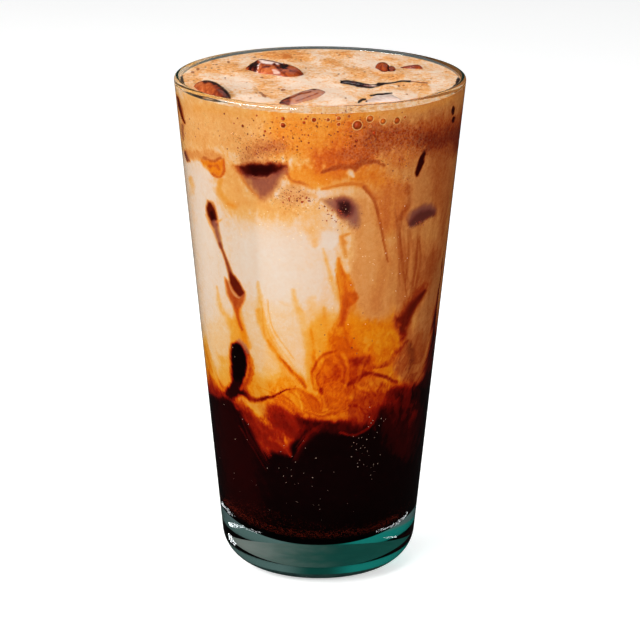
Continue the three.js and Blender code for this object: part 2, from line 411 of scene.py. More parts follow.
CREMA = [
    patch([(170, 90), (262, 105), (276, 150), (225, 152), (172, 148)], 14, coffee=0.27, clear=0.28),
    patch([(262, 108), (335, 110), (345, 160), (300, 166), (270, 150)], 14, coffee=0.35, clear=0.75),
    patch([(335, 112), (372, 112), (376, 166), (330, 164)], 12, coffee=0.45, clear=0.8),
    patch([(368, 126), (420, 122), (462, 112), (462, 148), (410, 150), (368, 150)], 9,
          coffee=0.6, clear=0.45),
    patch([(420, 134), (462, 126), (462, 152), (425, 152)], 8, 0.8, coffee=0.74, clear=0.3),
    patch([(352, 132), (385, 130), (384, 150), (356, 152)], 8, 0.6, coffee=0.6, clear=0.35),
    patch([(388, 152), (412, 148), (420, 156), (404, 168), (388, 168)], 7, 0.7, coffee=0.48, clear=0.6),
    stroke([(196, 108), (250, 114), (330, 117), (400, 112), (450, 98)], (3, 4, 3), 0.5, 0.9,
           coffee=0.3, clear=0.6),
    stroke([(186, 118), (215, 132), (262, 138)], (6, 9), 0.5, 0.9, coffee=0.22, clear=0.15),
    stroke([(235, 140), (262, 146)], (9, 8), 0.5, 0.9, coffee=0.32, clear=0.3),
]

FOAM_EDGE = [
    patch([(226, 196), (262, 204), (300, 206), (318, 220), (300, 232), (262, 236), (236, 228)], 15, 0.75,
          coffee=0.16, clear=0.25),
    patch([(222, 150), (232, 160), (246, 186), (262, 198), (292, 196), (318, 208), (308, 217), (262, 216),
           (234, 212), (222, 198), (216, 178)], 10, coffee=0.27, clear=0.4),
    patch([(283, 168), (300, 166), (330, 172), (326, 186), (300, 186), (288, 182)], 5, 0.9,
          coffee=0.36, clear=0.85),
    stroke([(286, 170), (294, 180), (312, 187)], (1.4, 1.6), 0.7, coffee=0.54, clear=0.6),
    patch([(306, 172), (320, 171), (322, 182), (310, 186)], 4, 0.8, coffee=0.22, clear=0.7),
    patch([(286, 184), (300, 187), (314, 194), (304, 202), (286, 203), (278, 196)], 5, 0.8,
          coffee=0.33, clear=0, veil=0.12),
    patch([(306, 166), (330, 163), (352, 168), (378, 168), (398, 180), (380, 190), (352, 182), (326, 184),
           (310, 178)], 9, 0.85, coffee=0.44, clear=0.85),
    patch([(312, 150), (344, 148), (366, 152), (362, 162), (336, 166), (316, 162)], 8, 0.55,
          coffee=0.6, clear=0.7),
    stroke([(322, 171), (342, 167), (354, 168), (362, 162), (374, 161), (384, 166)], (1.5, 3, 1.5), 0.8,
           coffee=0.66, clear=0.3),
    stroke([(344, 155), (356, 157), (366, 158)], (6, 5), 0.5, 0.9, coffee=0.62, clear=0.4),
    stroke([(350, 172), (353, 175)], (2.6, 2), 0.9, 0.8, coffee=0.12, clear=0),
    patch([(183, 148), (200, 150), (222, 153), (222, 160), (204, 160), (188, 156)], 3, 0.75,
          coffee=0.42, clear=0.25),
    patch([(198, 159), (222, 160), (224, 168), (219, 176), (211, 172), (204, 166)], 2.6,
          coffee=0.4, clear=0.95),
    stroke([(204, 158), (213, 160), (221, 158)], (1.4, 1.2), 0.7, coffee=0.62, clear=0.35),
    stroke([(209, 166), (216, 165), (219, 169)], (1.2, 1), 0.7, coffee=0.54, clear=0.8),
    stroke([(212, 173), (218, 177), (224, 170), (224, 160)], (1.2, 1.6), 0.8, coffee=0.56, clear=0.8),
    stroke([(191, 178), (194, 186), (192, 192)], (2.2, 3), 0.7, 0.8, coffee=0.3, clear=0.5),
    stroke([(221, 180), (220, 190), (226, 200), (234, 206)], (2, 3.4), 0.75, 0.8, coffee=0.34, clear=0.85),
    stroke([(227, 156), (236, 168), (247, 186), (258, 198)], (2, 2), 0.7, 0.8, coffee=0.22, clear=0.5),
    patch([(300, 206), (322, 208), (330, 226), (318, 236), (300, 226)], 7, 0.6, coffee=0.22, clear=0.1),
    stroke([(322, 188), (336, 185), (352, 183), (364, 186), (371, 193)], (1.2, 2.4), 0.85,
           coffee=0.46, clear=0.7),
]

MILK = [
    patch([(196, 170), (206, 178), (208, 220), (214, 300), (204, 330), (190, 240)], 7, 0.8,
          coffee=0.07, clear=0),
    stroke([(190, 190), (196, 250), (206, 330)], (3, 4), 0.5, 0.9, coffee=0.15, clear=0),
    patch([(236, 232), (286, 236), (296, 262), (292, 306), (262, 300), (246, 280), (238, 256)], 14, 0.8,
          coffee=0.06, clear=0),
    patch([(296, 236), (318, 240), (326, 270), (330, 300), (312, 314), (300, 290)], 9, 0.6,
          coffee=0.09, clear=0),
    patch([(322, 232), (338, 234), (337, 247), (324, 247)], 3, 0.9, coffee=0.05, clear=0),
    stroke([(311, 231), (314, 237), (315, 244)], (4, 5, 3), 0.6, 0.9, coffee=0.26, clear=0.05),
    patch([(246, 300), (257, 300), (261, 326), (270, 346), (281, 362), (276, 378), (262, 380), (254, 366),
           (249, 340)], 4, 0.7, coffee=0.13, clear=0.4),
    patch([(268, 304), (292, 302), (298, 330), (304, 350), (307, 378), (299, 370), (288, 356), (278, 342),
           (270, 326)], 3.5, 0.8, coffee=0.13, clear=0.35),
    patch([(206, 318), (226, 322), (230, 350), (228, 372), (220, 372), (210, 350)], 7, 0.6,
          coffee=0.15, clear=0.55),
    patch([(357, 196), (374, 204), (386, 262), (392, 300), (380, 326), (362, 318), (353, 290), (352, 250)], 8,
          0.9, coffee=0.36, clear=0.15),
    patch([(362, 214), (372, 230), (378, 262), (366, 300), (356, 262)], 8, 0.5, coffee=0.32, clear=0.1),
    stroke([(384, 262), (383, 280), (377, 292), (376, 306)], (5, 6, 5), 0.5, 0.9, coffee=0.46, clear=0.35),
    patch([(373, 196), (398, 180), (412, 190), (408, 206), (398, 224), (392, 236), (382, 226)], 6, 0.9,
          coffee=0.47, clear=0.5),
    stroke([(408, 188), (411, 198), (405, 210), (400, 218)], (3.4, 2.4), 0.75, 0.8, coffee=0.6, clear=0.35),
    patch([(414, 160), (428, 156), (434, 200), (412, 208), (408, 196), (414, 182)], 6, 0.7,
          coffee=0.4, clear=0.1),
    patch([(430, 152), (452, 150), (444, 240), (436, 214), (430, 190)], 7, 0.8, coffee=0.56, clear=0.25),
    patch([(394, 250), (410, 236), (430, 240), (434, 262), (424, 292), (406, 306), (396, 290)], 8, 0.8,
          coffee=0.47, clear=0.3),
    patch([(424, 256), (438, 246), (438, 266), (428, 290), (416, 302)], 6, 0.7, coffee=0.62, clear=0.25),
    patch([(436, 262), (442, 262), (432, 310), (424, 348), (414, 346), (418, 320), (428, 290)], 3, 0.85,
          coffee=0.47, clear=0.05),
    patch([(400, 342), (420, 330), (426, 350), (420, 380), (404, 380), (394, 366)], 5, 0.9,
          coffee=0.56, clear=0.35),
    stroke([(409, 344), (412, 356), (409, 368)], (3.4, 2.6), 0.65, 0.9, coffee=0.7, clear=0.1),
    *strands([(400, 216), (402, 250), (408, 292)], 9, 5, 1.1, 0.55, 5, coffee=0.6, clear=0.3),
    *strands([(420, 236), (420, 262), (414, 292)], 7, 5, 1.3, 0.5, 7, coffee=0.64, clear=0.25),
    *strands([(368, 206), (372, 250), (370, 300)], 5, 6, 1.5, 0.3, 9, coffee=0.3, clear=0.1),
]

VEINS = [
    stroke([(217, 286), (220, 304), (228, 320), (237, 338)], (0.8, 2.4, 4), 0.7, 0.9, coffee=0.25, clear=0.9),
    patch([(228, 317), (238, 320), (245, 334), (247, 345), (238, 342), (232, 330)], 3, 0.85,
          coffee=0.29, clear=1),
    stroke([(258, 282), (260, 300), (262, 318), (269, 338)], (1.6, 4, 3.4), 0.75, 0.9,
           coffee=0.24, clear=0.9),
    stroke([(258, 310), (261, 324), (267, 338), (275, 350)], (2.2, 2.8, 2), 0.6, 1.0, coffee=0.34, clear=1),
    stroke([(268, 340), (276, 352), (284, 362), (293, 372), (304, 382)], (1.2, 1.4, 1.8, 2.4), 0.9,
           coffee=0.38, clear=1),
    stroke([(280, 357), (288, 367), (296, 376), (306, 385)], (0.8, 1.8, 1.6), 0.85, 0.8,
           coffee=0.56, clear=1),
    fold([(272, 346), (282, 360), (292, 372), (302, 383)], 9, 0.7, coffee=0.3, clear=1),
    stroke([(293, 290), (297, 305), (302, 318), (306, 336), (310, 362)], (2, 4, 3.4, 2), 0.7, 0.9,
           coffee=0.25, clear=0.85),
    patch([(307, 326), (328, 318), (332, 352), (318, 382), (309, 374)], 5, 0.95, coffee=0.28, clear=1),
    patch([(306, 300), (314, 296), (318, 312), (308, 318)], 4, 0.5, coffee=0.22, clear=0.8),
    stroke([(311, 330), (314, 350), (313, 372)], (1.6, 2), 0.6, 0.9, coffee=0.42, clear=1),
    stroke([(323, 248), (328, 266), (332, 282), (338, 298)], (1, 2.2, 3), 0.6, 0.9, coffee=0.28, clear=0.85),
    stroke([(324, 308), (325, 320), (328, 330)], (1.8, 2.6), 0.7, 0.9, coffee=0.33, clear=0.95),
    patch([(338, 255), (342, 266), (349, 276), (355, 290), (357, 300), (350, 308), (345, 320), (338, 331),
           (333, 328), (339, 312), (340, 300), (336, 284), (336, 270)], 2.4, 0.95, coffee=0.4, clear=0.95),
    stroke([(338, 258), (343, 272), (352, 286)], (0.9, 1.6, 1), 0.6, 0.9, coffee=0.5, clear=0.9),
    patch([(346, 290), (357, 293), (357, 302), (349, 308), (343, 301)], 2.5, 0.8, coffee=0.56, clear=0.9),
    stroke([(349, 304), (343, 314), (340, 326)], (3.6, 3, 2.4), 0.85, 0.9, coffee=0.6, clear=0.9),
    stroke([(352, 300), (355, 308), (350, 316)], (2, 2), 0.6, 0.9, coffee=0.44, clear=0.95),
    stroke([(350, 233), (342, 237), (343, 243), (346, 256)], (1, 2.4, 2), 0.8, 0.8, coffee=0.4, clear=0.6),
    stroke([(340, 236), (346, 243)], (1, 1.4), 0.7, 0.8, coffee=0.38, clear=0.6),
    stroke([(364, 187), (373, 199), (379, 218), (384, 243), (388, 262)], (1.6, 1.5, 0.7), 0.9,
           coffee=0.62, clear=0.35),
    fold([(388, 264), (384, 243), (379, 218), (373, 199), (364, 187)], 6, 0.5, coffee=0.48, clear=0.5),
    patch([(428, 280), (424, 296), (412, 312), (405, 330), (393, 328), (398, 312), (408, 300), (416, 288)],
          4.5, 0.9, coffee=0.68, clear=0.6),
    stroke([(425, 290), (414, 304), (406, 318), (403, 332)], (1.2, 4, 3), 0.9, 0.9, coffee=0.82, clear=0.5),
    patch([(394, 318), (408, 312), (406, 336), (400, 340)], 3, 0.7, coffee=0.78, clear=0.6),
    stroke([(403, 334), (401, 345), (396, 353), (389, 361), (379, 366), (371, 366)], (2.8, 1.9, 1.6), 0.9,
           0.8, coffee=0.74, clear=0.8),
    stroke([(401, 345), (408, 340)], (1.6, 1), 0.8, 0.8, coffee=0.7, clear=0.6),
    *strands([(340, 262), (345, 285), (348, 310)], 6, 3, 0.8, 0.5, 11, coffee=0.52, clear=0.9),
    *strands([(262, 306), (268, 336), (290, 368)], 5, 2.4, 0.9, 0.45, 13, coffee=0.4, clear=1),
]

SWIRLS = [
    patch([(330, 338), (348, 322), (392, 322), (401, 344), (390, 359), (372, 366), (345, 354), (332, 356)], 7,
          coffee=0.4, clear=1),
    patch([(350, 322), (366, 324), (392, 334), (394, 348), (372, 350), (354, 340)], 6, 0.8,
          coffee=0.36, clear=1),
    patch([(330, 334), (346, 330), (354, 342), (348, 354), (334, 352)], 6, 0.8, coffee=0.5, clear=1),
    stroke([(342, 322), (346, 334), (350, 346), (356, 350)], (1.4, 1.2), 0.6, 0.9, coffee=0.58, clear=1),
    patch([(322, 354), (345, 350), (374, 366), (370, 382), (344, 386), (324, 388), (318, 372)], 4,
          coffee=0.5, clear=1),
    patch([(349, 358), (360, 357), (369, 357), (368, 363), (358, 366), (350, 363)], 2.4, 0.9,
          coffee=0.66, clear=0.9),
    stroke([(355, 365), (358, 371)], (3, 2), 0.7, 0.9, coffee=0.66, clear=0.9),
    patch([(336, 368), (352, 370), (356, 380), (344, 384), (336, 378)], 4, 0.7, coffee=0.56, clear=1),
    fold([(322, 391), (314, 378), (316, 364), (326, 355), (340, 350)], 8, 0.8, coffee=0.42, clear=1),
    stroke([(322, 391), (316, 384), (313, 374), (316, 364), (324, 355), (336, 350)], (1.5, 1.6, 1), 0.8, 0.8,
           coffee=0.6, clear=1),
    stroke([(318, 386), (316, 372), (321, 362), (332, 354)], (1, 1.4, 1), 0.8, 0.8, coffee=0.4, clear=1),
    stroke([(323, 389), (319, 376), (325, 362)], (0.9, 1), 0.7, coffee=0.6, clear=1),
    stroke([(325, 388), (330, 372), (342, 362)], (0.9, 1.2), 0.5, coffee=0.58, clear=1),
    patch([(206, 342), (213, 366), (222, 384), (230, 389), (226, 395), (213, 390), (204, 370)], 4, 0.9,
          coffee=0.36, clear=1),
    patch([(218, 356), (230, 358), (230, 386), (222, 380)], 4, 0.7, coffee=0.28, clear=1),
    patch([(206, 366), (213, 382), (223, 391), (231, 389), (230, 398), (212, 394), (203, 380)], 3,
          coffee=0.66, clear=1),
    patch([(252, 374), (266, 378), (284, 374), (297, 385), (284, 392), (262, 399), (250, 396), (246, 386)], 4,
          0.95, coffee=0.34, clear=1),
    patch([(256, 372), (272, 370), (280, 376), (270, 382), (258, 380)], 4, 0.7, coffee=0.2, clear=0.9),
    stroke([(247, 350), (251, 364), (250, 376), (244, 386), (246, 394)], (1.6, 2.6, 3), 0.95, 0.8,
           coffee=0.62, clear=1),
    stroke([(250, 356), (253, 370), (249, 382)], (1.4, 1.4), 0.7, 0.9, coffee=0.46, clear=1),
    patch([(256, 404), (268, 400), (284, 394), (293, 387), (300, 396), (303, 408), (290, 411), (276, 405),
           (264, 408)], 2.4, 0.95, coffee=0.38, clear=1),
    patch([(295, 387), (307, 389), (319, 397), (321, 411), (304, 414), (302, 400)], 2.4, coffee=0.5, clear=1),
    patch([(264, 407), (276, 404), (298, 412), (302, 424), (286, 432), (270, 426)], 5, coffee=0.68, clear=1),
    patch([(276, 416), (300, 416), (312, 422), (300, 438), (284, 434)], 6, 0.85, coffee=0.8, clear=1),
    stroke([(243, 391), (249, 397), (257, 400), (270, 398), (282, 392), (296, 386)], (2.4, 2.2, 0.9, 0.7),
           0.95, 0.8, coffee=0.78, clear=0.95),
    patch([(235, 392), (242, 398.5), (252, 402), (262, 403.5), (266, 407), (264, 415), (257, 408),
           (244, 401)], 1.6, 0.75, coffee=0.33, clear=0.8),
    stroke([(235, 392), (240, 399), (248, 403)], (0.7, 1.1), 0.9, 0.7, coffee=0.28, clear=0.8),
    stroke([(232, 395), (238, 403), (246, 408), (253, 410)], (0.9, 1.5, 0.8), 0.9, 0.7, coffee=0.56, clear=1),
    stroke([(231, 398), (236, 406), (243, 411)], (0.8, 1.2, 0.7), 0.8, 0.7, coffee=0.62, clear=1),
    fold([(293, 387), (299, 397), (302, 411)], 6, 0.6, coffee=0.6, clear=1),
    stroke([(292, 387), (299, 397), (302, 411)], (1.4, 0.8), 0.8, 0.8, coffee=0.3, clear=1),
    fold([(294, 387), (305, 389), (316, 396), (320, 410)], 5, 0.5, coffee=0.62, clear=1),
    stroke([(293, 386), (305, 388), (316, 395), (320, 408)], (1, 0.9), 0.8, 0.8, coffee=0.38, clear=1),
    stroke([(276, 402), (286, 407), (294, 414)], (1, 1), 0.7, 0.8, coffee=0.42, clear=1),
    stroke([(272, 406), (284, 410), (292, 418)], (1.2, 1.4), 0.6, 0.8, coffee=0.7, clear=1),
    patch([(322, 390), (330, 384), (345, 384), (358, 390), (366, 402), (350, 408), (324, 410)], 3,
          coffee=0.5, clear=1),
    patch([(327, 388), (337, 383), (346, 387), (343, 395), (330, 397)], 2.4, 0.8, coffee=0.42, clear=1),
    stroke([(329, 385), (337, 382), (345, 386), (353, 385)], (0.8, 0.9), 0.8, 0.8, coffee=0.32, clear=1),
    stroke([(350, 384), (360, 391), (372, 393)], (1, 1.4), 0.6, coffee=0.6, clear=1),
    patch([(356, 382), (364, 377), (374, 376), (386, 382), (390, 388), (376, 390), (364, 388)], 2.6,
          coffee=0.42, clear=0.95),
    patch([(364, 392), (380, 390), (386, 396), (376, 404), (366, 402)], 4, 0.8, coffee=0.56, clear=1),
    stroke([(348, 385), (356, 380), (363, 375), (371, 373), (384, 376), (397, 381)], (2, 1.7, 1.5), 0.95, 0.8,
           coffee=0.7, clear=0.85),
    stroke([(321, 391), (323, 389)], (2.4, 1.8), 0.9, 0.7, coffee=0.72, clear=1),
    patch([(306, 409), (322, 412), (340, 408), (352, 402), (350, 412), (336, 418), (318, 419)], 2, 0.95,
          coffee=0.46, clear=1),
    stroke([(306, 410), (322, 414), (336, 413), (350, 406)], (0.8, 1.2, 0.8), 0.8, 0.8, coffee=0.36, clear=1),
    stroke([(310, 415), (324, 417), (338, 416)], (0.8, 1, 0.7), 0.7, 0.8, coffee=0.4, clear=1),
    patch([(296, 419), (325, 421), (348, 419), (360, 412), (372, 416), (366, 430), (342, 434), (312, 430)], 4,
          0.95, coffee=0.88, clear=1),
    patch([(346, 402), (362, 396), (374, 400), (378, 412), (366, 424), (350, 420)], 5, 0.9,
          coffee=0.66, clear=0.95),
    patch([(352, 404), (364, 402), (368, 412), (358, 418)], 4, 0.6, coffee=0.58, clear=1),
    stroke([(340, 433), (352, 435), (364, 431), (372, 424), (377, 412)], (0.8, 1.2, 0.8), 0.85, 0.8,
           coffee=0.74, clear=1),
    patch([(384, 388), (400, 390), (414, 388), (420, 420), (410, 456), (390, 446), (380, 414)], 12, 0.8,
          coffee=0.88, clear=1),
    stroke([(398, 392), (394, 402), (388, 410)], (5, 4), 0.5, 0.9, coffee=0.8, clear=1),
    stroke([(411, 404), (413, 414)], (5, 4), 0.4, 0.9, coffee=0.8, clear=1),
    *strands([(322, 391), (322, 400), (323, 409)], 7, 1.8, 0.6, 0.7, 15, coffee=0.62, clear=1),
    *strands([(323, 391), (332, 398), (346, 402)], 6, 2.4, 0.6, 0.6, 17, coffee=0.36, clear=1),
    *strands([(306, 411), (324, 415), (348, 408)], 7, 1.8, 0.5, 0.7, 19, coffee=0.6, clear=1),
    *strands([(270, 392), (284, 400), (298, 410)], 7, 4, 0.7, 0.55, 23, coffee=0.58, clear=1),
    *strands([(300, 392), (308, 400), (312, 412)], 6, 3, 0.6, 0.5, 25, coffee=0.4, clear=1),
    *strands([(330, 360), (344, 368), (352, 380)], 7, 5, 0.8, 0.5, 27, coffee=0.6, clear=1),
    *strands([(352, 402), (362, 408), (368, 420)], 7, 4, 0.8, 0.5, 29, coffee=0.78, clear=1),
]

DEPTHS = [
    patch([(212, 396), (232, 400), (246, 424), (262, 470), (262, 520), (228, 510), (214, 440)], 12, 0.7,
          coffee=0.915, clear=1),
    patch([(240, 406), (256, 414), (264, 424), (272, 433), (268, 446), (256, 434), (246, 420)], 3.4, 0.9,
          coffee=0.78, clear=1),
    stroke([(240, 404), (250, 412), (258, 424), (266, 434)], (1.6, 2.4, 2), 0.8, 0.8, coffee=0.66, clear=1),
    patch([(262, 434), (272, 433), (281, 435), (287, 444), (291, 455), (282, 451), (272, 449), (266, 443)],
          2.4, coffee=0.74, clear=1),
    stroke([(270, 438), (278, 439), (284, 446)], (2.2, 1.6), 0.9, 0.9, coffee=0.62, clear=1),
    stroke([(284, 446), (288, 453), (291, 457)], (1, 0.7), 0.8, 0.8, coffee=0.66, clear=1),
    patch([(266, 414), (284, 412), (298, 420), (296, 436), (280, 438), (268, 430)], 5, 0.7,
          coffee=0.75, clear=1),
    patch([(258, 422), (268, 424), (280, 434), (276, 440), (264, 434)], 3, 0.6, coffee=0.72, clear=1),
    patch([(330, 372), (350, 366), (372, 372), (366, 392), (344, 394), (330, 388)], 6, 0.35,
          coffee=0.66, clear=1),
    patch([(372, 388), (392, 392), (396, 402), (380, 406), (368, 398)], 5, 0.6, coffee=0.68, clear=1),
    fold([(294, 456), (303, 442), (322, 424)], 8, 0.7, coffee=0.8, clear=1),
    *strands([(250, 418), (260, 438), (270, 456)], 6, 2.2, 0.7, 0.8, 31, coffee=0.7, clear=1),
    *strands([(240, 418), (250, 440), (266, 466)], 5, 2.6, 0.6, 0.8, 33, coffee=0.82, clear=1),
    *strands([(298, 448), (308, 436), (322, 425)], 5, 2.2, 1.0, 0.6, 35, coffee=0.78, clear=1),
    *strands([(400, 392), (406, 412), (398, 440)], 6, 8, 2.2, 0.4, 37, coffee=0.84, clear=1),
]

# Ice that touches the wall, seen as dark shapes: the eye under the foam, and those sunk in the milk
SUNK_ICE = [
    stroke([(248, 158), (262, 150), (278, 146)], (8, 10, 7), 0.5, 1.0, coffee=0.64, clear=0.1, veil=0.15),
    patch([(240, 170), (284, 167), (280, 180), (266, 198), (252, 188)], 6, 0.9,
          coffee=0.66, clear=0.1, veil=0.45),
    stroke([(238, 170), (246, 184), (258, 196)], (1.4, 1.2), 0.7, 0.9, coffee=0.46, clear=0.5, veil=0),
    patch([(234, 165), (250, 162), (270, 162), (287, 165), (277, 172), (262, 177), (248, 176), (240, 171)],
          3.4, coffee=0.86, clear=0.5, veil=0),
    patch([(249, 165), (270, 164), (272, 171), (252, 173)], 4, 0.9, coffee=0.94, clear=0.5, veil=0),
    stroke([(252, 176), (262, 178), (272, 174)], (0.7, 0.8), 0.5, 0.8, coffee=0.4, clear=0, veil=0.4),
    patch([(322, 199), (344, 196), (356, 203), (360, 216), (356, 227), (345, 221), (332, 209)], 4.5, 0.95,
          coffee=0.54, clear=0, veil=0.7),
    patch([(335, 200), (346, 199), (353, 206), (349, 216), (339, 213)], 5, 0.97,
          coffee=0.93, clear=0.4, veil=0.05),
    patch([(407, 219), (413, 210), (430, 203), (435, 212), (421, 221), (410, 227)], 3, 0.95,
          coffee=0.66, clear=0, veil=0.5),
    patch([(408, 222), (418, 212), (430, 208), (434, 214), (420, 222), (410, 226)], 3, 0.9,
          coffee=0.84, clear=0.2, veil=0.15),
    patch([(425, 149), (425, 158), (421, 170), (418, 177), (415, 171), (419, 158)], 1.2,
          coffee=0.9, clear=0.3, veil=0),
    stroke([(185, 152), (189, 160)], (2, 1.4), 0.9, 0.8, coffee=0.8, clear=0, veil=0.3),
    stroke([(177, 99), (180, 110), (184, 121)], (2.4, 2.6, 1.4), 0.95, 0.8, coffee=0.86, clear=0.3, veil=0),
    stroke([(182, 124), (183, 138)], (1.2, 1), 0.6, 0.8, coffee=0.75, clear=0, veil=0.4),
    stroke([(453, 106), (452, 112)], (1.3, 1.2), 0.95, coffee=0.95, clear=0, veil=0),
    stroke([(454, 116), (453, 120)], (1.2, 1), 0.95, coffee=0.95, clear=0, veil=0),
    patch([(208, 200), (213, 203), (217, 214), (218, 225), (213, 225), (207, 211)], 2.2,
          coffee=0.84, clear=0.4, veil=0),
    stroke([(212, 212), (215, 222)], (1.6, 1.4), 0.7, 0.9, coffee=0.94, clear=0.4, veil=0),
    stroke([(215, 222), (218, 234), (221, 246)], (2.6, 1.8), 0.9, 0.9, coffee=0.62, clear=0.1, veil=0.5),
    stroke([(220, 243), (226, 260), (231, 275)], (1.5, 1.5, 2), 0.95, 0.8, coffee=0.72, clear=0.3, veil=0.1),
    stroke([(206, 214), (210, 224), (215, 232)], (0.8, 0.8), 0.6, 0.9, coffee=0.34, clear=0.7),
    stroke([(217, 221), (222, 219)], (1.4, 0.8), 0.6, 0.9, coffee=0.3, clear=0.7),
    patch([(225, 277), (229, 282), (236, 296), (244, 290), (245, 298), (240, 310), (236, 314), (232, 304),
           (227, 292)], 2, 0.95, coffee=0.6, clear=0.6),
    stroke([(229, 281), (232, 290), (238, 297), (243, 294)], (0.8, 1), 0.8, 0.8,
           coffee=0.3, clear=0.1, veil=0.3),
    patch([(229, 271), (235, 276), (244, 290), (241, 296), (235, 292), (230, 282)], 1.5,
          coffee=0.8, clear=0.5, veil=0),
    stroke([(238, 310), (239, 320), (244, 334), (248, 346)], (3, 2.4, 2.6), 0.9, 0.9, coffee=0.42, clear=1),
    stroke([(237, 308), (238, 318), (242, 330)], (1.6, 1.2, 0.8), 0.85, 0.8, coffee=0.58, clear=0.9),
    stroke([(239, 340), (245, 346), (248, 352)], (2, 1.4), 0.7, 0.9, coffee=0.5, clear=0, veil=0.5),
    patch([(232, 344), (238, 342), (245, 350), (247, 362), (245, 374), (240, 385), (234, 385), (231, 374),
           (231, 356)], 2.6, coffee=0.985, clear=0.9, veil=0),
    patch([(233, 380), (241, 380), (240, 388), (244, 394), (232, 398), (226, 392)], 3,
          coffee=0.93, clear=1, veil=0),
]

# Coffee that runs down the right side
DARK_EDGE = [
    stroke([(444, 250), (437, 305), (432, 345), (424, 385)], (0.2, 2.2, 3), 0.9, 0.9, coffee=0.92, clear=0.6),
]

# The finest dark bubbles, thick in the crema and along a few edges
PEPPER = [
    patch([(176, 108), (340, 116), (462, 100), (462, 150), (340, 166), (230, 152), (176, 140)], 10, 0.5,
          pepper=0.55),
    patch([(236, 136), (290, 140), (292, 164), (250, 166), (234, 158)], 8, 0.8, pepper=0.85),
    patch([(345, 124), (410, 122), (424, 150), (380, 160), (344, 158)], 8, 0.8, pepper=0.9),
    patch([(276, 184), (300, 190), (316, 206), (300, 214), (270, 204)], 5, 0.8, pepper=0.8),
    patch([(380, 156), (412, 152), (412, 186), (384, 184)], 6, 0.6, pepper=0.6),
    patch([(372, 196), (410, 190), (396, 236), (384, 230)], 6, 0.5, pepper=0.4),
    stroke([(315, 201), (325, 206), (335, 215), (343, 222), (357, 226)], (3, 3), 0.9, 0.9, pepper=1.0),
    stroke([(409, 227), (421, 222), (434, 216)], (1.6, 1.6), 0.9, 0.9, pepper=0.9),
    stroke([(352, 228), (357, 240)], (4, 4), 0.6, 0.9, pepper=0.6),
]

# Grounds settled at the bottom
DUST = [
    patch([(222, 496), (262, 506), (300, 520), (340, 526), (380, 520), (412, 500), (404, 518), (372, 532),
           (320, 540), (270, 530), (234, 514)], 6, 0.6, dust=0.34),
    stroke([(224, 500), (247, 517), (265, 526), (281, 531), (305, 535), (327, 535), (355, 532), (375, 527),
            (395, 516)], (2.4, 3.4, 2), 1.0, 0.9, dust=1.0),
    stroke([(224, 508), (245, 524), (265, 532.5), (281, 537), (305, 541), (327, 541.5), (355, 539),
            (375, 534), (400, 521), (412, 508)], (1.6, 2.6, 1.6), 1.0, 0.7, dust=0.0, coffee=1.0),
]

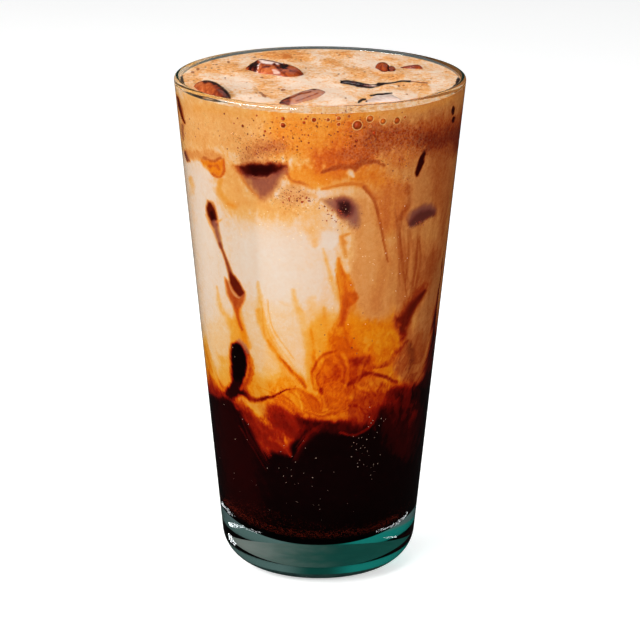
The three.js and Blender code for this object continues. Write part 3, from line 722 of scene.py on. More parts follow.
# The foam's top. gold runs from 0, cream, to 1, caramel. The dark field is coffee dried on it in places, and
# elsewhere painted shade: the dark gaps where the inner wall meets the foam at the left and right, and the
# thin dark line under the lip's inner edge. pit is a burst bubble.
FOAM_TOP = [
    patch([(196, 88), (215, 84), (245, 85), (262, 91), (242, 97), (210, 95)], 4, 0.6, gold=0.6),
    patch([(253, 56), (262, 52), (285, 49), (306, 51), (309, 58), (292, 61), (270, 58)], 3, 0.9, gold=0.8),
    stroke([(286, 56), (290, 57)], (3, 2), 0.9, 0.8, gold=1.2),
    patch([(321, 60), (326, 57.5), (336, 59), (341, 63), (334, 65.5), (325, 65)], 3.5, 0.9, gold=0.8),
    patch([(347, 70), (354, 68), (363, 72), (366, 77), (358, 79)], 2, 0.8, gold=0.7),
    patch([(372, 71), (384, 74), (402, 73), (402, 79), (386, 80)], 2, 0.9, gold=0.8),
    patch([(414, 72), (430, 73), (434, 78), (418, 79)], 2, 0.7, gold=0.6),
    patch([(392, 82), (410, 81), (431, 84), (428, 94), (408, 96), (398, 90)], 5, 0.8, gold=0.62),
    patch([(182, 76), (198, 73), (200, 82), (188, 86)], 3, 0.8, gold=0.6),
    patch([(255, 78), (268, 75), (282, 82), (290, 92), (270, 98), (255, 92)], 6, 0.7, gold=0.6),
    patch([(205, 66), (230, 61), (250, 66), (250, 74), (232, 78), (212, 74)], 4, 0.8, gold=0.6),
    patch([(192, 66), (206, 60), (218, 61), (212, 70), (198, 73)], 3, 0.7, gold=0.75),
    patch([(330, 51), (352, 52), (360, 56), (340, 57)], 2, 0.7, gold=0.6),
    stroke([(319, 52), (345, 53), (372, 58), (398, 60)], (1.5, 2.5, 1.5), 0.5, 0.9, gold=0.7),
    patch([(219, 76), (236, 74), (250, 82), (252, 90), (232, 90), (222, 84)], 3, 0.9, gold=-0.05),
    patch([(276, 78), (300, 77), (322, 80), (318, 88), (296, 89), (280, 86)], 3, 0.8, gold=-0.05),
    patch([(354, 55), (366, 53), (378, 58), (374, 66), (358, 65)], 3, 0.8, gold=0.0),
    patch([(318, 88), (340, 87), (350, 96), (340, 102), (320, 102)], 3, 0.9, gold=-0.1),
    patch([(236, 93), (250, 92), (272, 100), (260, 104), (240, 100)], 3, 0.9, gold=-0.1),
    patch([(384, 92), (398, 91), (418, 93), (410, 100), (388, 101)], 3, 0.9, gold=-0.05),
    patch([(430, 80), (452, 80), (448, 88), (432, 94)], 3, 0.8, gold=0.0),
    stroke([(255, 87), (259, 92), (265, 96.5)], (1.8, 1), 0.28, 0.9, pit=1),
    stroke([(262, 93), (266, 97)], (0.9, 0.7), 0.5, 0.8, pit=1),
    stroke([(234, 58), (244, 58), (252, 56)], (1, 1.6, 1), 0.25, 0.9, pit=1),
    stroke([(378, 84), (388, 83.2), (396, 82.2), (404, 81), (410, 81.4)], (1.2, 0.6, 1), 0.95, 0.7,
           stain=0.9),
    stroke([(411, 81.6), (418, 82), (428, 83)], (0.8, 0.6), 0.6, 0.9, pit=1),
    stroke([(341, 80.8), (350, 83.4), (362, 86), (372, 86.2), (382, 84.4)], (0.6, 1.9, 1.1), 0.95, 0.7,
           stain=0.95),
    stroke([(371, 95.5), (378, 94.4), (384, 94), (392, 92.8)], (0.9, 1, 0.6), 0.9, 0.7, stain=0.85),
    stroke([(359, 102), (362, 99.8), (365, 99.4)], (1.4, 1.2), 0.9, 0.8, stain=0.8),
    # Painted shade: the dark gaps where the inner wall meets the foam, at the left and at the right, and the
    # thin dark line under the lip's inner edge
    stroke([(181, 76), (183, 86), (190, 92.6), (204, 98)], (1.8, 1.8, 0.8), 0.95, 0.7, stain=1.0),
    stroke([(459, 79), (456, 86), (448, 91), (436, 95), (424, 98), (409, 100.6)], (1.6, 1.3, 0.7), 0.95, 0.7,
           stain=1.0),
    stroke([(196, 97), (216, 100.4), (240, 103.4), (280, 106), (322, 107), (360, 106.2), (392, 103.6),
            (414, 100.4)], (0.7, 0.5, 0.7), 0.7, 0.9, stain=0.8),
]

# Larger burst bubbles of the foam's top: x, y and radius
FOAM_PITS = [
    (262, 77.5, 0.74), (260, 92.5, 0.62), (264, 96, 0.68), (283, 90, 1.36), (279, 88.5, 0.5),
    (256, 93, 0.5), (250, 98, 0.5), (246, 83, 0.37), (225, 78, 0.5), (229, 62, 0.87),
    (217, 64.5, 0.74), (198, 69, 0.99), (193, 72, 1.12), (205, 67, 0.62), (353.5, 67, 0.56),
    (364.5, 72, 0.5), (346, 98, 0.56), (346, 79, 0.5), (339, 74, 0.5), (404, 85.5, 0.62),
    (399, 86, 0.74), (407, 94, 0.56), (301, 60, 0.62), (306, 68, 0.5), (212, 68, 0.62),
]

# The ice above the foam. tone runs from 0, amber, to 1, near black. film is milk over it.
ICE_MARKS = [
    patch([(222, 82), (240, 100), (240, 103), (218, 98), (214, 88)], 5, 0.9, tone=0.66),
    stroke([(214, 81), (224, 88), (232, 95), (240, 101)], (2, 2.4), 0.8, 0.9, tone=0.9),
    stroke([(204, 82), (209, 80.6), (214, 83)], (1.4, 1.6), 0.9, 0.8, tone=0.85),
    stroke([(194, 90), (204, 94), (220, 98), (236, 101)], (1.2, 1.4), 0.7, 0.9, tone=0.8),
    stroke([(217, 80.2), (226, 85.6), (232, 91)], (0.5, 0.5), 0.8, 0.7, film=0.8),
    patch([(248, 60), (256, 59), (258, 64), (256, 72), (249, 71)], 1.4, tone=0.86),
    stroke([(259.4, 63.4), (257.8, 68), (256.8, 72.4)], (0.6, 0.5), 0.95, 0.5, film=1.0),
    patch([(260, 64), (270, 64), (276, 68), (270, 74), (258, 75)], 1.6, tone=0.2),
    stroke([(259, 74), (262, 68), (270, 66)], (0.8, 0.8), 0.7, 0.8, tone=0.8),
    patch([(256, 58), (272, 59), (284, 62), (278, 65), (262, 63)], 1.4, 0.9, film=0.85, tone=0.3),
    stroke([(254, 59), (266, 60), (275, 62), (285, 65)], (0.4, 0.5), 0.7, 0.7, tone=0.9, film=0),
    patch([(272, 69.4), (277, 69.6), (281, 73.4), (274, 74)], 1.4, 0.8, film=0.75),
    stroke([(274, 64), (280, 70), (287, 76)], (1.2, 1), 0.9, 0.8, tone=0.7, film=0),
    patch([(279, 64), (289, 64.5), (288, 69), (281, 68.5)], 1, 0.95, tone=0.93, film=0),
    patch([(288, 64), (300, 68), (307, 74), (300, 77), (288, 76)], 2.4, 0.9, tone=0.34, film=0),
    stroke([(290, 70), (298, 73), (304, 76)], (1.2, 1), 0.7, 0.9, tone=0.7),
    patch([(288, 92), (308, 90), (324, 90), (316, 101), (296, 104), (286, 100)], 3, 0.95,
          film=0.36, tone=0.1),
    patch([(274, 104), (282, 97), (290, 97), (288, 106)], 2, 0.9, tone=0.72, film=0.1),
    stroke([(300, 91), (308, 88.4), (315, 89)], (1.2, 1), 0.95, 0.8, tone=0.85, film=0),
    stroke([(290, 98), (300, 94), (311, 92)], (0.8, 0.6), 0.7, 0.9, tone=0.75, film=0.1),
    stroke([(296, 101), (308, 97), (318, 93)], (0.7, 0.6), 0.6, 0.9, tone=0.7, film=0.2),
    patch([(375, 61), (390, 60), (396, 68), (392, 73), (378, 72)], 2, 0.7, tone=0.42),
    stroke([(377, 70), (384, 72.4), (394, 71)], (1.4, 1.2), 0.8, 0.9, tone=0.8),
    stroke([(389, 64), (388, 68), (390, 71)], (0.7, 0.7), 0.9, 0.8, tone=0.85),
    patch([(336, 78), (384, 80), (386, 90), (350, 90)], 3, tone=0.985, film=0),
    stroke([(356, 86.6), (368, 86), (378, 84.6)], (0.6, 0.5), 0.5, 0.8, tone=0.8),
    patch([(356, 90), (372, 86), (396, 90), (408, 100), (384, 106), (356, 108)], 3, film=0.93, tone=0.3),
    stroke([(358, 103), (362, 99.6), (366, 101)], (1.6, 1.2), 0.95, 0.8, tone=0.9, film=0.1),
    stroke([(371, 95.6), (378, 94.4), (384, 94), (392, 92.8)], (0.9, 1.1, 0.7), 0.95, 0.7, tone=1.0, film=0),
]

# How each piece of ice starts before its marks: tone and film
ICE_BODY = {
    "ice_ridge": (0.4, 0.0), "ice_wedge": (0.26, 0.0), "ice_slope": (0.5, 0.45), "ice_lobes": (0.42, 0.0),
    "ice_flat": (0.5, 0.1), "ice_slab": (0.97, 0.0), "ice_clear": (0.4, 0.9),
}

# Bubbles against the glass: x, y and radius
DARK_BUBBLES = [
    (283, 118.4, 1.9), (283, 125, 2), (242.7, 125.6, 1.5), (265, 131, 1.3), (264, 135, 1.1),
    (283.4, 136.8, 1), (293, 137.8, 0.9), (304, 122.3, 1.5), (313.5, 119.4, 1.4), (305.8, 118.4, 1.2),
    (308.7, 142.5, 1), (297, 149.5, 0.9), (234, 123, 0.9), (224.3, 113.4, 1), (256.6, 115.3, 1),
    (189.6, 118.4, 0.9), (185.8, 132.6, 0.9), (350.8, 136, 1.2), (356.4, 140.4, 1.7),
    (355, 145.5, 1.1), (374, 132.6, 1.9), (370.7, 142, 1), (385.5, 132, 1), (397, 132, 0.9),
    (302, 201.7, 1.3), (309, 198, 0.7), (291, 191, 0.7),
]
RING_BUBBLES = [
    (357.4, 124.9, 5.2), (370, 118.5, 4), (383, 121, 3.6), (397, 120.3, 3.8), (370, 126, 1.5),
    (338.6, 118, 2.5), (328, 119.5, 2), (314, 119.5, 2.6), (338.6, 124, 2), (405, 117, 1.8),
    (349, 116, 1.6), (283, 125, 3),
]
SPECKS = [
    (233, 347), (235, 356.5), (224.3, 404), (242.6, 419), (248.5, 424), (235.5, 439), (280.8, 451.5),
    (305.5, 448), (316, 458), (284, 445.5), (295.5, 462), (267.5, 468), (279, 468), (234.5, 473),
    (291.6, 476), (312.6, 477.5), (220.5, 457.5), (369.6, 407), (369.3, 416.8), (381.2, 418.3),
    (383.6, 420.8), (385.4, 419), (372.8, 420.3), (371, 422.8), (368.4, 426.5), (379, 425.4),
    (353.3, 436.3), (358.6, 438), (366.7, 439.3), (353.6, 442.5), (356.6, 443.8), (362.8, 445.4),
    (364.8, 447.5), (360.5, 448), (356.2, 449.5), (367.3, 450.8), (374.3, 437.5), (377, 432.2),
    (380, 454.6), (351.4, 456.6), (359.5, 460), (357.4, 463), (357.7, 466.7), (373.4, 464),
    (377.4, 463.5), (370.5, 475), (371.5, 479),
]

# Where finer ones gather: middle, reach across and down, and how many
BUBBLE_CROWDS = [
    ((300, 130), (100, 14), 130), ((322, 119), (60, 11), 80), ((265, 150), (26, 9), 60),
    ((385, 138), (34, 14), 80), ((296, 196), (20, 9), 45), ((336, 213), (22, 14), 40),
    ((400, 170), (16, 20), 24), ((421, 222), (12, 4), 16), ((345, 340), (60, 36), 12),
]
SPECK_CROWDS = [((367, 448), (12, 26), 12), ((300, 470), (70, 40), 16), ((330, 500), (70, 22), 14)]
SPARKLE_CROWDS = [((300, 220), (80, 50), 40), ((380, 250), (40, 50), 34), ((330, 310), (60, 40), 8)]

RING_FACE = 0.84  # the dark middle of a ringed bubble, as a share of its radius
SPECK_RADIUS = 0.43

# Lights mirrored in the outside of the glass, as outlines in pixels, with their strength
HIGHLIGHTS = [
    ([(228, 105.6), (236, 106.5), (236, 107.9), (228, 107)], 8),
    ([(250, 106.4), (255, 106.9), (255, 108.2), (250, 107.7)], 8),
    ([(279, 109.4), (285, 109.9), (285, 111), (279, 110.5)], 6),
    ([(227.5, 522), (234, 523.6), (243, 526), (243, 529), (235, 529), (229, 526)], 13),
    ([(243, 527), (252, 530), (263, 533.4), (262, 534.6), (250, 532.4), (243, 529)], 7),
    ([(228, 533), (232, 537), (236.6, 544), (235, 546), (229.4, 540)], 10),
    ([(222, 501), (228, 508), (236, 517), (234.6, 517.6), (226, 509.5), (221.6, 504)], 4),
    ([(388, 527.4), (398, 521), (407, 512), (408, 513.4), (401, 522), (390, 529)], 7),
    ([(374, 533), (380, 529.6), (389, 527), (388, 529), (378, 533.4)], 9),
    ([(383, 539), (390, 537.4), (398, 537), (397, 538.4), (388, 540)], 10),
]
# A long light that the lip mirrors: place and size in metres
RIM_CARD = dict(place=(-0.75, -0.7, 0.3), size=(1.2, 0.5), strength=45, streak_mm=90)

# Whirls that wind the marks round: centre, reach, and turn in degrees
WHIRLS = [
    ((322, 391), 12, 25), ((272, 436), 9, -25), ((348, 312), 10, 20),
    ((360, 345), 12, 20), ((395, 316), 9, -20),
]

# Where milk turns golden, from the left of the photograph to the right: tongues of milk reach down between
WARM_EDGE = [
    (198, 330), (205, 338), (213, 380), (227, 382), (233, 330), (243, 326), (250, 366), (262, 378),
    (272, 352), (284, 372), (296, 384), (304, 378), (310, 334), (320, 316), (332, 326), (342, 322),
    (356, 316), (372, 328), (392, 320), (402, 342), (414, 388), (436, 394),
]

# The black coffee's edge from the left of the photograph to the right
COFFEE_EDGE = [
    (205, 384), (225, 396), (240, 404), (262, 448), (285, 452), (300, 426), (325, 420), (350, 424),
    (375, 412), (395, 392), (415, 384), (435, 368),
]


# Where the drink changes in the photograph, in pixels, from the first number to the second
FOAMY_ROWS = (160, 215)
SINKING_ROWS = (270, 385)
RIGHTWARD_COLUMNS = (300, 440)
WARMING_ROWS = (-26, 10)  # from the golden edge
DARKENING_ROWS = (-14, 10)  # from the black coffee's edge
# Rows where marks wander most and where milk and coffee are marbled, with their reach
RESTLESS_ROW, RESTLESS_REACH = 390, 40
STIRRED_ROW, STIRRED_REACH = 375, 50
# How much coffee is in the drink before its marks, from 0, milk, to 1, black. What is added to the right
# is more coffee, and also painted shade on the side away from the key lamp
MILK_TONE, MILK_TO_RIGHT, MILK_SUNK = 0.09, 0.34, 0.09
WARM_TONE, WARM_TO_RIGHT = 0.29, 0.1
COFFEE_TONE = 0.97
# How far the marks wander in pixels: across and down, in fine waves, and where the photograph shows nothing
WANDER_ACROSS, WANDER_DOWN, FINE_WANDER = 1.5, 1.6, 0.9
UNSEEN_ACROSS, UNSEEN_DOWN = 34, 24
GOLDEN_WANDER, COFFEE_WANDER, DARK_EDGE_WANDER = 9, 5, 2.6
# The rim of the foam behind the near wall, more golden and darkened with painted shade: from which share of
# the radius, and its tones
RIM_SHARES = (0.86, 0.9)
RIM_GOLD, RIM_SHADE = 0.42, 0.2


def bell(value, middle, reach):
    """1 at the middle, fading over its reach to both sides."""
    return np.exp(-(((value - middle) / reach) ** 2))


def edge_row(edge, x):
    """Row of the photograph where an edge runs, at each column."""
    return np.interp(x, *np.transpose(edge))


def whirled(x, y):
    """Pixels wound round the centre of each whirl."""
    for (cx, cy), reach, turn in WHIRLS:
        away = ((x - cx) ** 2 + (y - cy) ** 2) / reach**2
        twist = math.radians(turn) * np.exp(-away)
        dx, dy = x - cx, y - cy
        x = cx + dx * np.cos(twist) - dy * np.sin(twist)
        y = cy + dx * np.sin(twist) + dy * np.cos(twist)
    return x, y


def bare_side(x, y, place, foamy, rightward, streaks):
    """The fields of the side before its marks: milk that darkens to the right, with more coffee and with
    painted shade, and black coffee below it.
    """
    fields = {
        "coffee": MILK_TONE + MILK_TO_RIGHT * rightward + (0.04 + 0.05 * rightward) * streaks,
        "clear": 0.05 + 0.15 * rightward,
        "veil": np.zeros_like(x),
        "pepper": 0.06 + 0.1 * foamy,
        "dust": np.zeros_like(x),
    }
    sinking = smoothstep(*SINKING_ROWS, y)
    fields["coffee"] = fields["coffee"] + MILK_SUNK * sinking
    fields["clear"] = mix(fields["clear"], 0.6, sinking)
    ragged_gold = GOLDEN_WANDER * mottled(place, (9, 20), 69)
    warm = smoothstep(*WARMING_ROWS, y - edge_row(WARM_EDGE, x) + ragged_gold)
    fields["coffee"] = mix(fields["coffee"], WARM_TONE + WARM_TO_RIGHT * rightward, warm)
    fields["clear"] = mix(fields["clear"], 1.0, warm)
    edge = edge_row(COFFEE_EDGE, x) + COFFEE_WANDER * mottled(place, (10, 12), 75)
    fields["coffee"] = mix(fields["coffee"], COFFEE_TONE, smoothstep(*DARKENING_ROWS, y - edge))
    return fields


def marbled(coffee, y, place, streaked):
    """The coffee marbled where it meets the milk, with streaks through the milk where streaked says."""
    wander = 2 * mottled(place, (22, 22), 81)
    marbling = layered_noise(place[0] / 6 + wander, place[1] / 9 + wander, 87)
    thread = bell(marbling, 0, 0.07)
    stirred = bell(y, STIRRED_ROW, STIRRED_REACH) * smoothstep(0.22, 0.4, coffee) * (coffee < 0.9)
    coffee = coffee + stirred * (0.12 * marbling + 0.09 * thread)
    milky = 1 - smoothstep(0.5, 0.8, coffee)
    return coffee + 0.06 * streaked * milky


def painted_side(angle, z):
    """The fields over the drink's side."""
    x, y = whirled(*front_chart(angle, z))
    unseen = smoothstep(0.28, -0.1, np.cos(angle))
    in_front = smoothstep(-0.12, 0.06, np.cos(angle))
    calm = 1 - 0.5 * unseen
    foamy = 1 - smoothstep(*FOAMY_ROWS, y)

    # The noise has a place of its own, so that the back is no mirror image of the front
    place = (PIXELS_A_RADIAN * np.sin(angle), y + PIXELS_A_RADIAN * (1 - np.cos(angle)))
    restless = 0.35 + 0.9 * foamy + 0.8 * bell(y, RESTLESS_ROW, RESTLESS_REACH)
    fine = FINE_WANDER * calm
    x = x + restless * (WANDER_ACROSS * mottled(place, (15, 18), 21) + fine * mottled(place, (4, 4), 27))
    y = y + restless * (WANDER_DOWN * mottled(place, (16, 15), 33) + fine * mottled(place, (4, 4), 39))
    x = x + unseen * UNSEEN_ACROSS * mottled(place, (60, 70), 45)
    y = y + unseen * UNSEEN_DOWN * mottled(place, (50, 50), 51)

    rightward = smoothstep(*RIGHTWARD_COLUMNS, x)
    streaks = mottled(place, (5, 60), 57)
    fields = bare_side(x, y, place, foamy, rightward, streaks)
    ragged = calm * (0.7 * mottled(place, (4, 8), 61) + 0.5 * mottled(place, (1.7, 2.4), 65))
    for mark in [*CREMA, *FOAM_EDGE, *MILK, *VEINS, *SWIRLS, *DEPTHS, *PEPPER, *DUST]:
        lay_on(mark, x, y, fields, ragged)
    for mark in SUNK_ICE:
        lay_on(mark, x, y, fields, 0.4 * ragged, in_front)
    waver = DARK_EDGE_WANDER * mottled(place, (14, 24), 117)
    for mark in DARK_EDGE:
        lay_on(mark, x + waver, y, fields, 0.6 * ragged, in_front)
    fields["coffee"] = marbled(fields["coffee"], y, place, streaks * rightward * (1 - foamy))
    return fields


def painted_top(points):
    """The fields over the foam's top."""
    x, y = photograph_pixel(*points.T)
    x = x + 0.9 * mottled((x, y), (6, 2.4), 93)
    y = y + 0.5 * mottled((x, y), (7, 2.6), 99)
    place = (x, y)
    fields = {
        "gold": 0.26 + 0.2 * mottled(place, (16, 5), 105) + 0.12 * mottled(place, (4, 1.6), 111),
        "stain": np.zeros_like(x),
        "pit": np.zeros_like(x),
    }
    ragged = 0.9 * mottled(place, (4, 1.5), 117)
    for mark in FOAM_TOP:
        lay_on(mark, x, y, fields, 0.5 * ragged if "stain" in mark["brings"] else ragged)
    for pit_x, pit_y, radius in FOAM_PITS:
        dash = [(pit_x - 0.4 * radius, pit_y), (pit_x + 0.4 * radius, pit_y)]
        lay_on(stroke(dash, (radius, radius), pit=1), x, y, fields, 0.4 * ragged)

    # The rim behind the near wall: more golden, and darkened with painted shade
    from_middle = np.hypot(points[:, 0], points[:, 1])
    at_front = smoothstep(-0.1, 0.35, -points[:, 1] / from_middle)
    behind_lip = smoothstep(*RIM_SHARES, from_middle / drink_radius(points[:, 2])) * at_front
    fields["gold"] = mix(fields["gold"], RIM_GOLD, 0.8 * behind_lip)
    fields["stain"] = np.maximum(fields["stain"], RIM_SHADE * behind_lip)
    return fields


def painted_ice(points, tone, film):
    """The fields over a piece of ice."""
    x, y = photograph_pixel(*points.T)
    x = x + 0.5 * mottled((x, y), (4, 2), 123)
    y = y + 0.3 * mottled((x, y), (5, 2), 129)
    fields = {"tone": np.full_like(x, tone), "film": np.full_like(x, film)}
    ragged = 0.6 * mottled((x, y), (3, 1.5), 135)
    for mark in ICE_MARKS:
        lay_on(mark, x, y, fields, ragged)
    return fields


def lay_on(mark, x, y, fields, ragged, shown=1.0):
    """Lays one mark over the fields. ragged roughens its edge, and shown fades it out."""
    path, share = smooth_path(mark["path"])
    margin = 2.4 * max(mark["wide"])
    (left, top), (right, bottom) = path.min(axis=0) - margin, path.max(axis=0) + margin
    near = (x > left) & (x < right) & (y > top) & (y < bottom)
    mask = mark_mask(mark, *nearest_on(path, share, x[near], y[near]), ragged[near])
    mask = mask * mark["strength"] * np.broadcast_to(shown, x.shape)[near]
    for name, brought in mark["brings"].items():
        fields[name][near] = mix(fields[name][near], brought, mask)


def nearest_on(path, share, px, py):
    """For each pixel: distance to the path, share of the path there, side of it, and whether it is inside."""
    distance = np.full(px.shape, 1e9)
    along = np.zeros(px.shape)
    side = np.ones(px.shape)
    inside = np.zeros(px.shape, bool)
    for (ax, ay), (bx, by), start, end in zip(path, path[1:], share, share[1:]):
        dx, dy = bx - ax, by - ay
        t = np.clip(((px - ax) * dx + (py - ay) * dy) / max(dx * dx + dy * dy, 1e-9), 0, 1)
        far = np.hypot(px - ax - t * dx, py - ay - t * dy)
        closer = far < distance
        distance = np.where(closer, far, distance)
        along = np.where(closer, start + (end - start) * t, along)
        side = np.where(closer, np.sign(dx * (py - ay) - dy * (px - ax)), side)
        if ay != by:
            crosses = (ay > py) != (by > py)
            inside ^= crosses & (px < ax + dx * (py - ay) / dy)
    return distance, along, side, inside


def mark_mask(mark, distance, along, side, inside, rough):
    """How strongly a mark shows at each pixel, from 0 to 1."""
    if mark["kind"] == "patch":
        depth = np.where(inside, distance, -distance) / mark["wide"][0]
        return smoothstep(-1, 1, depth + 0.9 * rough)
    half_width = np.interp(along, np.linspace(0, 1, len(mark["wide"])), mark["wide"])
    if mark["kind"] == "fold":
        crisp = smoothstep(-0.8, 0.8, distance * side)
        return crisp * np.clip(1 - distance / half_width, 0, 1) ** 1.5
    fray = distance / half_width + 0.5 * rough
    return 1 - smoothstep(1 - mark["soft"], 1 + mark["soft"], fray)


# Shader maths

class Value:
    """A shader socket that Python's operators work on."""

    def __init__(self, maker, socket):
        self.maker = maker
        self.socket = socket

    def maths(self, operation, a, b):
        return self.maker.node("ShaderNodeMath", {"operation": operation}, {0: a, 1: b})

    def __add__(self, other):
        return self.maths("ADD", self, other)

    __radd__ = __add__

    def __sub__(self, other):
        return self.maths("SUBTRACT", self, other)

    def __rsub__(self, other):
        return self.maths("SUBTRACT", other, self)

    def __mul__(self, other):
        return self.maths("MULTIPLY", self, other)

    __rmul__ = __mul__

    def __truediv__(self, other):
        return self.maths("DIVIDE", self, other)


class Maker:
    """Builds the node tree of one material, or of the world."""

    def __init__(self, name, kind="materials"):
        self.material = getattr(bpy.data, kind).new(name)
        self.material.use_nodes = True
        self.tree = self.material.node_tree
        self.tree.nodes.clear()

    def node(self, kind, settings=None, values=None, output=0):
        made = self.tree.nodes.new(kind)
        for key, setting in (settings or {}).items():
            if key == "stops":
                self.set_stops(made.color_ramp, setting)
            else:
                setattr(made, key, setting)
        for key, value in (values or {}).items():
            if isinstance(value, Value):
                self.tree.links.new(value.socket, made.inputs[key])
            else:
                made.inputs[key].default_value = value
        return Value(self, made.outputs[output])

    @staticmethod
    def set_stops(ramp, stops):
        while len(ramp.elements) > 1:
            ramp.elements.remove(ramp.elements[-1])
        ramp.elements[0].position, ramp.elements[0].color = stops[0]
        for position, shade in stops[1:]:
            ramp.elements.new(position).color = shade

    def attribute(self, name):
        return self.node("ShaderNodeAttribute", {"attribute_name": name}, output="Fac")

    def place(self):
        return self.node("ShaderNodeTexCoord", output="Object")

    def ramp(self, value, stops):
        return self.node("ShaderNodeValToRGB", {"stops": stops}, {0: value})

    def between(self, value, low, high, to_low=0.0, to_high=1.0):
        """0 up to low and 1 from high on, or the other two values."""
        return self.node(
            "ShaderNodeMapRange",
            {"interpolation_type": "SMOOTHSTEP"},
            {"Value": value, "From Min": low, "From Max": high, "To Min": to_low, "To Max": to_high},
        )

    def below(self, value, low, high):
        """1 up to low and 0 from high on."""
        return self.between(value, low, high, 1.0, 0.0)

    def mix(self, factor, a, b):
        return self.node("ShaderNodeMix", {"data_type": "RGBA"}, {0: factor, 6: a, 7: b}, output=2)

    def noise(self, place, size_mm, detail=3.0, roughness=0.5, distortion=0.0):
        return self.node(
            "ShaderNodeTexNoise",
            values={
                "Vector": place, "Scale": 1 / (size_mm * MM), "Detail": detail,
                "Roughness": roughness, "Distortion": distortion,
            },
        )

    def cells(self, place, size_mm):
        """How far each place is from the middle of its cell."""
        return self.node("ShaderNodeTexVoronoi", values={"Vector": place, "Scale": 1 / (size_mm * MM)})

    def background(self, shade, strength=1.0):
        return self.node("ShaderNodeBackground", values={"Color": shade, "Strength": strength})

    def bump(self, height, distance_mm, strength):
        return self.node(
            "ShaderNodeBump", values={"Strength": strength, "Distance": distance_mm * MM, "Height": height}
        )

    def principled(self, **values):
        names = {key.replace("_", " ").title().replace("Ior", "IOR"): value for key, value in values.items()}
        return self.node("ShaderNodeBsdfPrincipled", values=names)

    def finish(self, surface, volume=None, output="ShaderNodeOutputMaterial"):
        output = self.tree.nodes.new(output)
        self.tree.links.new(surface.socket, output.inputs["Surface"])
        if volume:
            self.tree.links.new(volume.socket, output.inputs["Volume"])
        return self.material


def linear(channel):
    """Linear strength of an sRGB channel that runs up to 255."""
    share = channel / 255
    return share / 12.92 if channel <= 10 else ((share + 0.055) / 1.055) ** 2.4


def colour(red, green, blue):
    """Linear colour, with full cover, of an sRGB colour."""
    return linear(red), linear(green), linear(blue), 1


def behind_wall(red, green, blue):
    """Colour for the drink, lowered by as much as lamps and glass lift it."""
    lowered = (min(c / lift, 1) for c, lift in zip(colour(red, green, blue), WALL_LIFT))
    return (*lowered, 1)


WALL_LIFT = (1.18, 1.21, 1.16)

# The drink's colours from milk to black coffee, where it is milky and where light comes through
MILKY = [
    (0.0, behind_wall(238, 220, 204)),
    (0.1, behind_wall(237, 207, 180)),
    (0.22, behind_wall(241, 182, 116)),
    (0.34, behind_wall(228, 154, 86)),
    (0.46, behind_wall(203, 124, 64)),
    (0.6, behind_wall(164, 80, 32)),
    (0.74, behind_wall(110, 38, 14)),
    (0.88, behind_wall(54, 10, 5)),
    (1.0, behind_wall(10, 2, 2)),
]

CLEAR = [
    (0.0, behind_wall(240, 218, 184)),
    (0.12, behind_wall(241, 196, 130)),
    (0.24, behind_wall(242, 172, 60)),
    (0.36, behind_wall(240, 140, 14)),
    (0.48, behind_wall(224, 96, 6)),
    (0.6, behind_wall(196, 60, 6)),
    (0.7, behind_wall(160, 26, 7)),
    (0.79, behind_wall(112, 12, 5)),
    (0.88, behind_wall(58, 5, 4)),
    (0.95, behind_wall(21, 3, 3)),
    (1.0, behind_wall(3, 1, 1)),
]

VEIL = behind_wall(142, 94, 88)
FINE_BUBBLE = behind_wall(104, 36, 12)
FROTH_LIGHT = behind_wall(255, 206, 140)
SETTLED = behind_wall(206, 66, 42)


def drink_side_material():
    """The drink against the glass: milk, coffee and what lies between, with grain and the finest bubbles."""
    m = Maker("drink_side")
    place = m.place()
    pepper = m.attribute("pepper")
    coffee = m.attribute("coffee")
    open_drink = m.below(coffee, 0.6, 0.9)
    grain = m.noise(place, size_mm=0.9, detail=4, roughness=0.7) - 0.5
    drift = m.noise(place, size_mm=4.5, detail=5, roughness=0.6, distortion=1.4) - 0.5
    strength = coffee + open_drink * ((0.12 + 0.55 * pepper) * grain + 0.16 * drift)
    milky = m.ramp(strength, MILKY)
    clear = m.ramp(strength, CLEAR)
    mixed = m.mix(m.attribute("clear"), milky, clear)
    veiled = m.mix(m.attribute("veil"), mixed, VEIL)
    gathered = m.between(m.noise(place, size_mm=2.2, detail=2), 0.42, 0.62)
    thick = m.between(pepper * (0.45 + 0.9 * gathered), 0.25, 0.7)
    dot = m.below(m.cells(place, size_mm=0.62), 0.16, 0.3) * thick
    dotted = m.mix(0.8 * dot, veiled, FINE_BUBBLE)
    froth = m.between(m.cells(place, size_mm=0.7), 0.42, 0.62) * pepper * open_drink
    frothy = m.mix(0.12 * froth, dotted, FROTH_LIGHT)
    dust = m.attribute("dust")
    heaped = m.between(m.noise(place, size_mm=0.9) + 0.2 * dust, 0.42, 0.66)
    settled = m.below(m.cells(place, size_mm=0.34), 0.16, 0.42) * heaped
    dusty = m.mix(dust * settled, frothy, SETTLED)
    skin = m.principled(base_color=dusty, roughness=0.6, specular_ior_level=0.0)
    return m.finish(skin)


FOAM_TONES = [
    (0.0, colour(252, 221, 196)),
    (0.25, colour(249, 201, 158)),
    (0.45, colour(247, 184, 120)),
    (0.65, colour(244, 170, 94)),
    (0.85, colour(236, 150, 66)),
    (1.0, colour(216, 118, 42)),
]
PORE_TINT = colour(178, 88, 28)
PIT_TINT = colour(136, 54, 16)
HOLLOW_TINT = colour(156, 70, 22)
STAIN_AND_SHADE_TINT = colour(40, 10, 6)


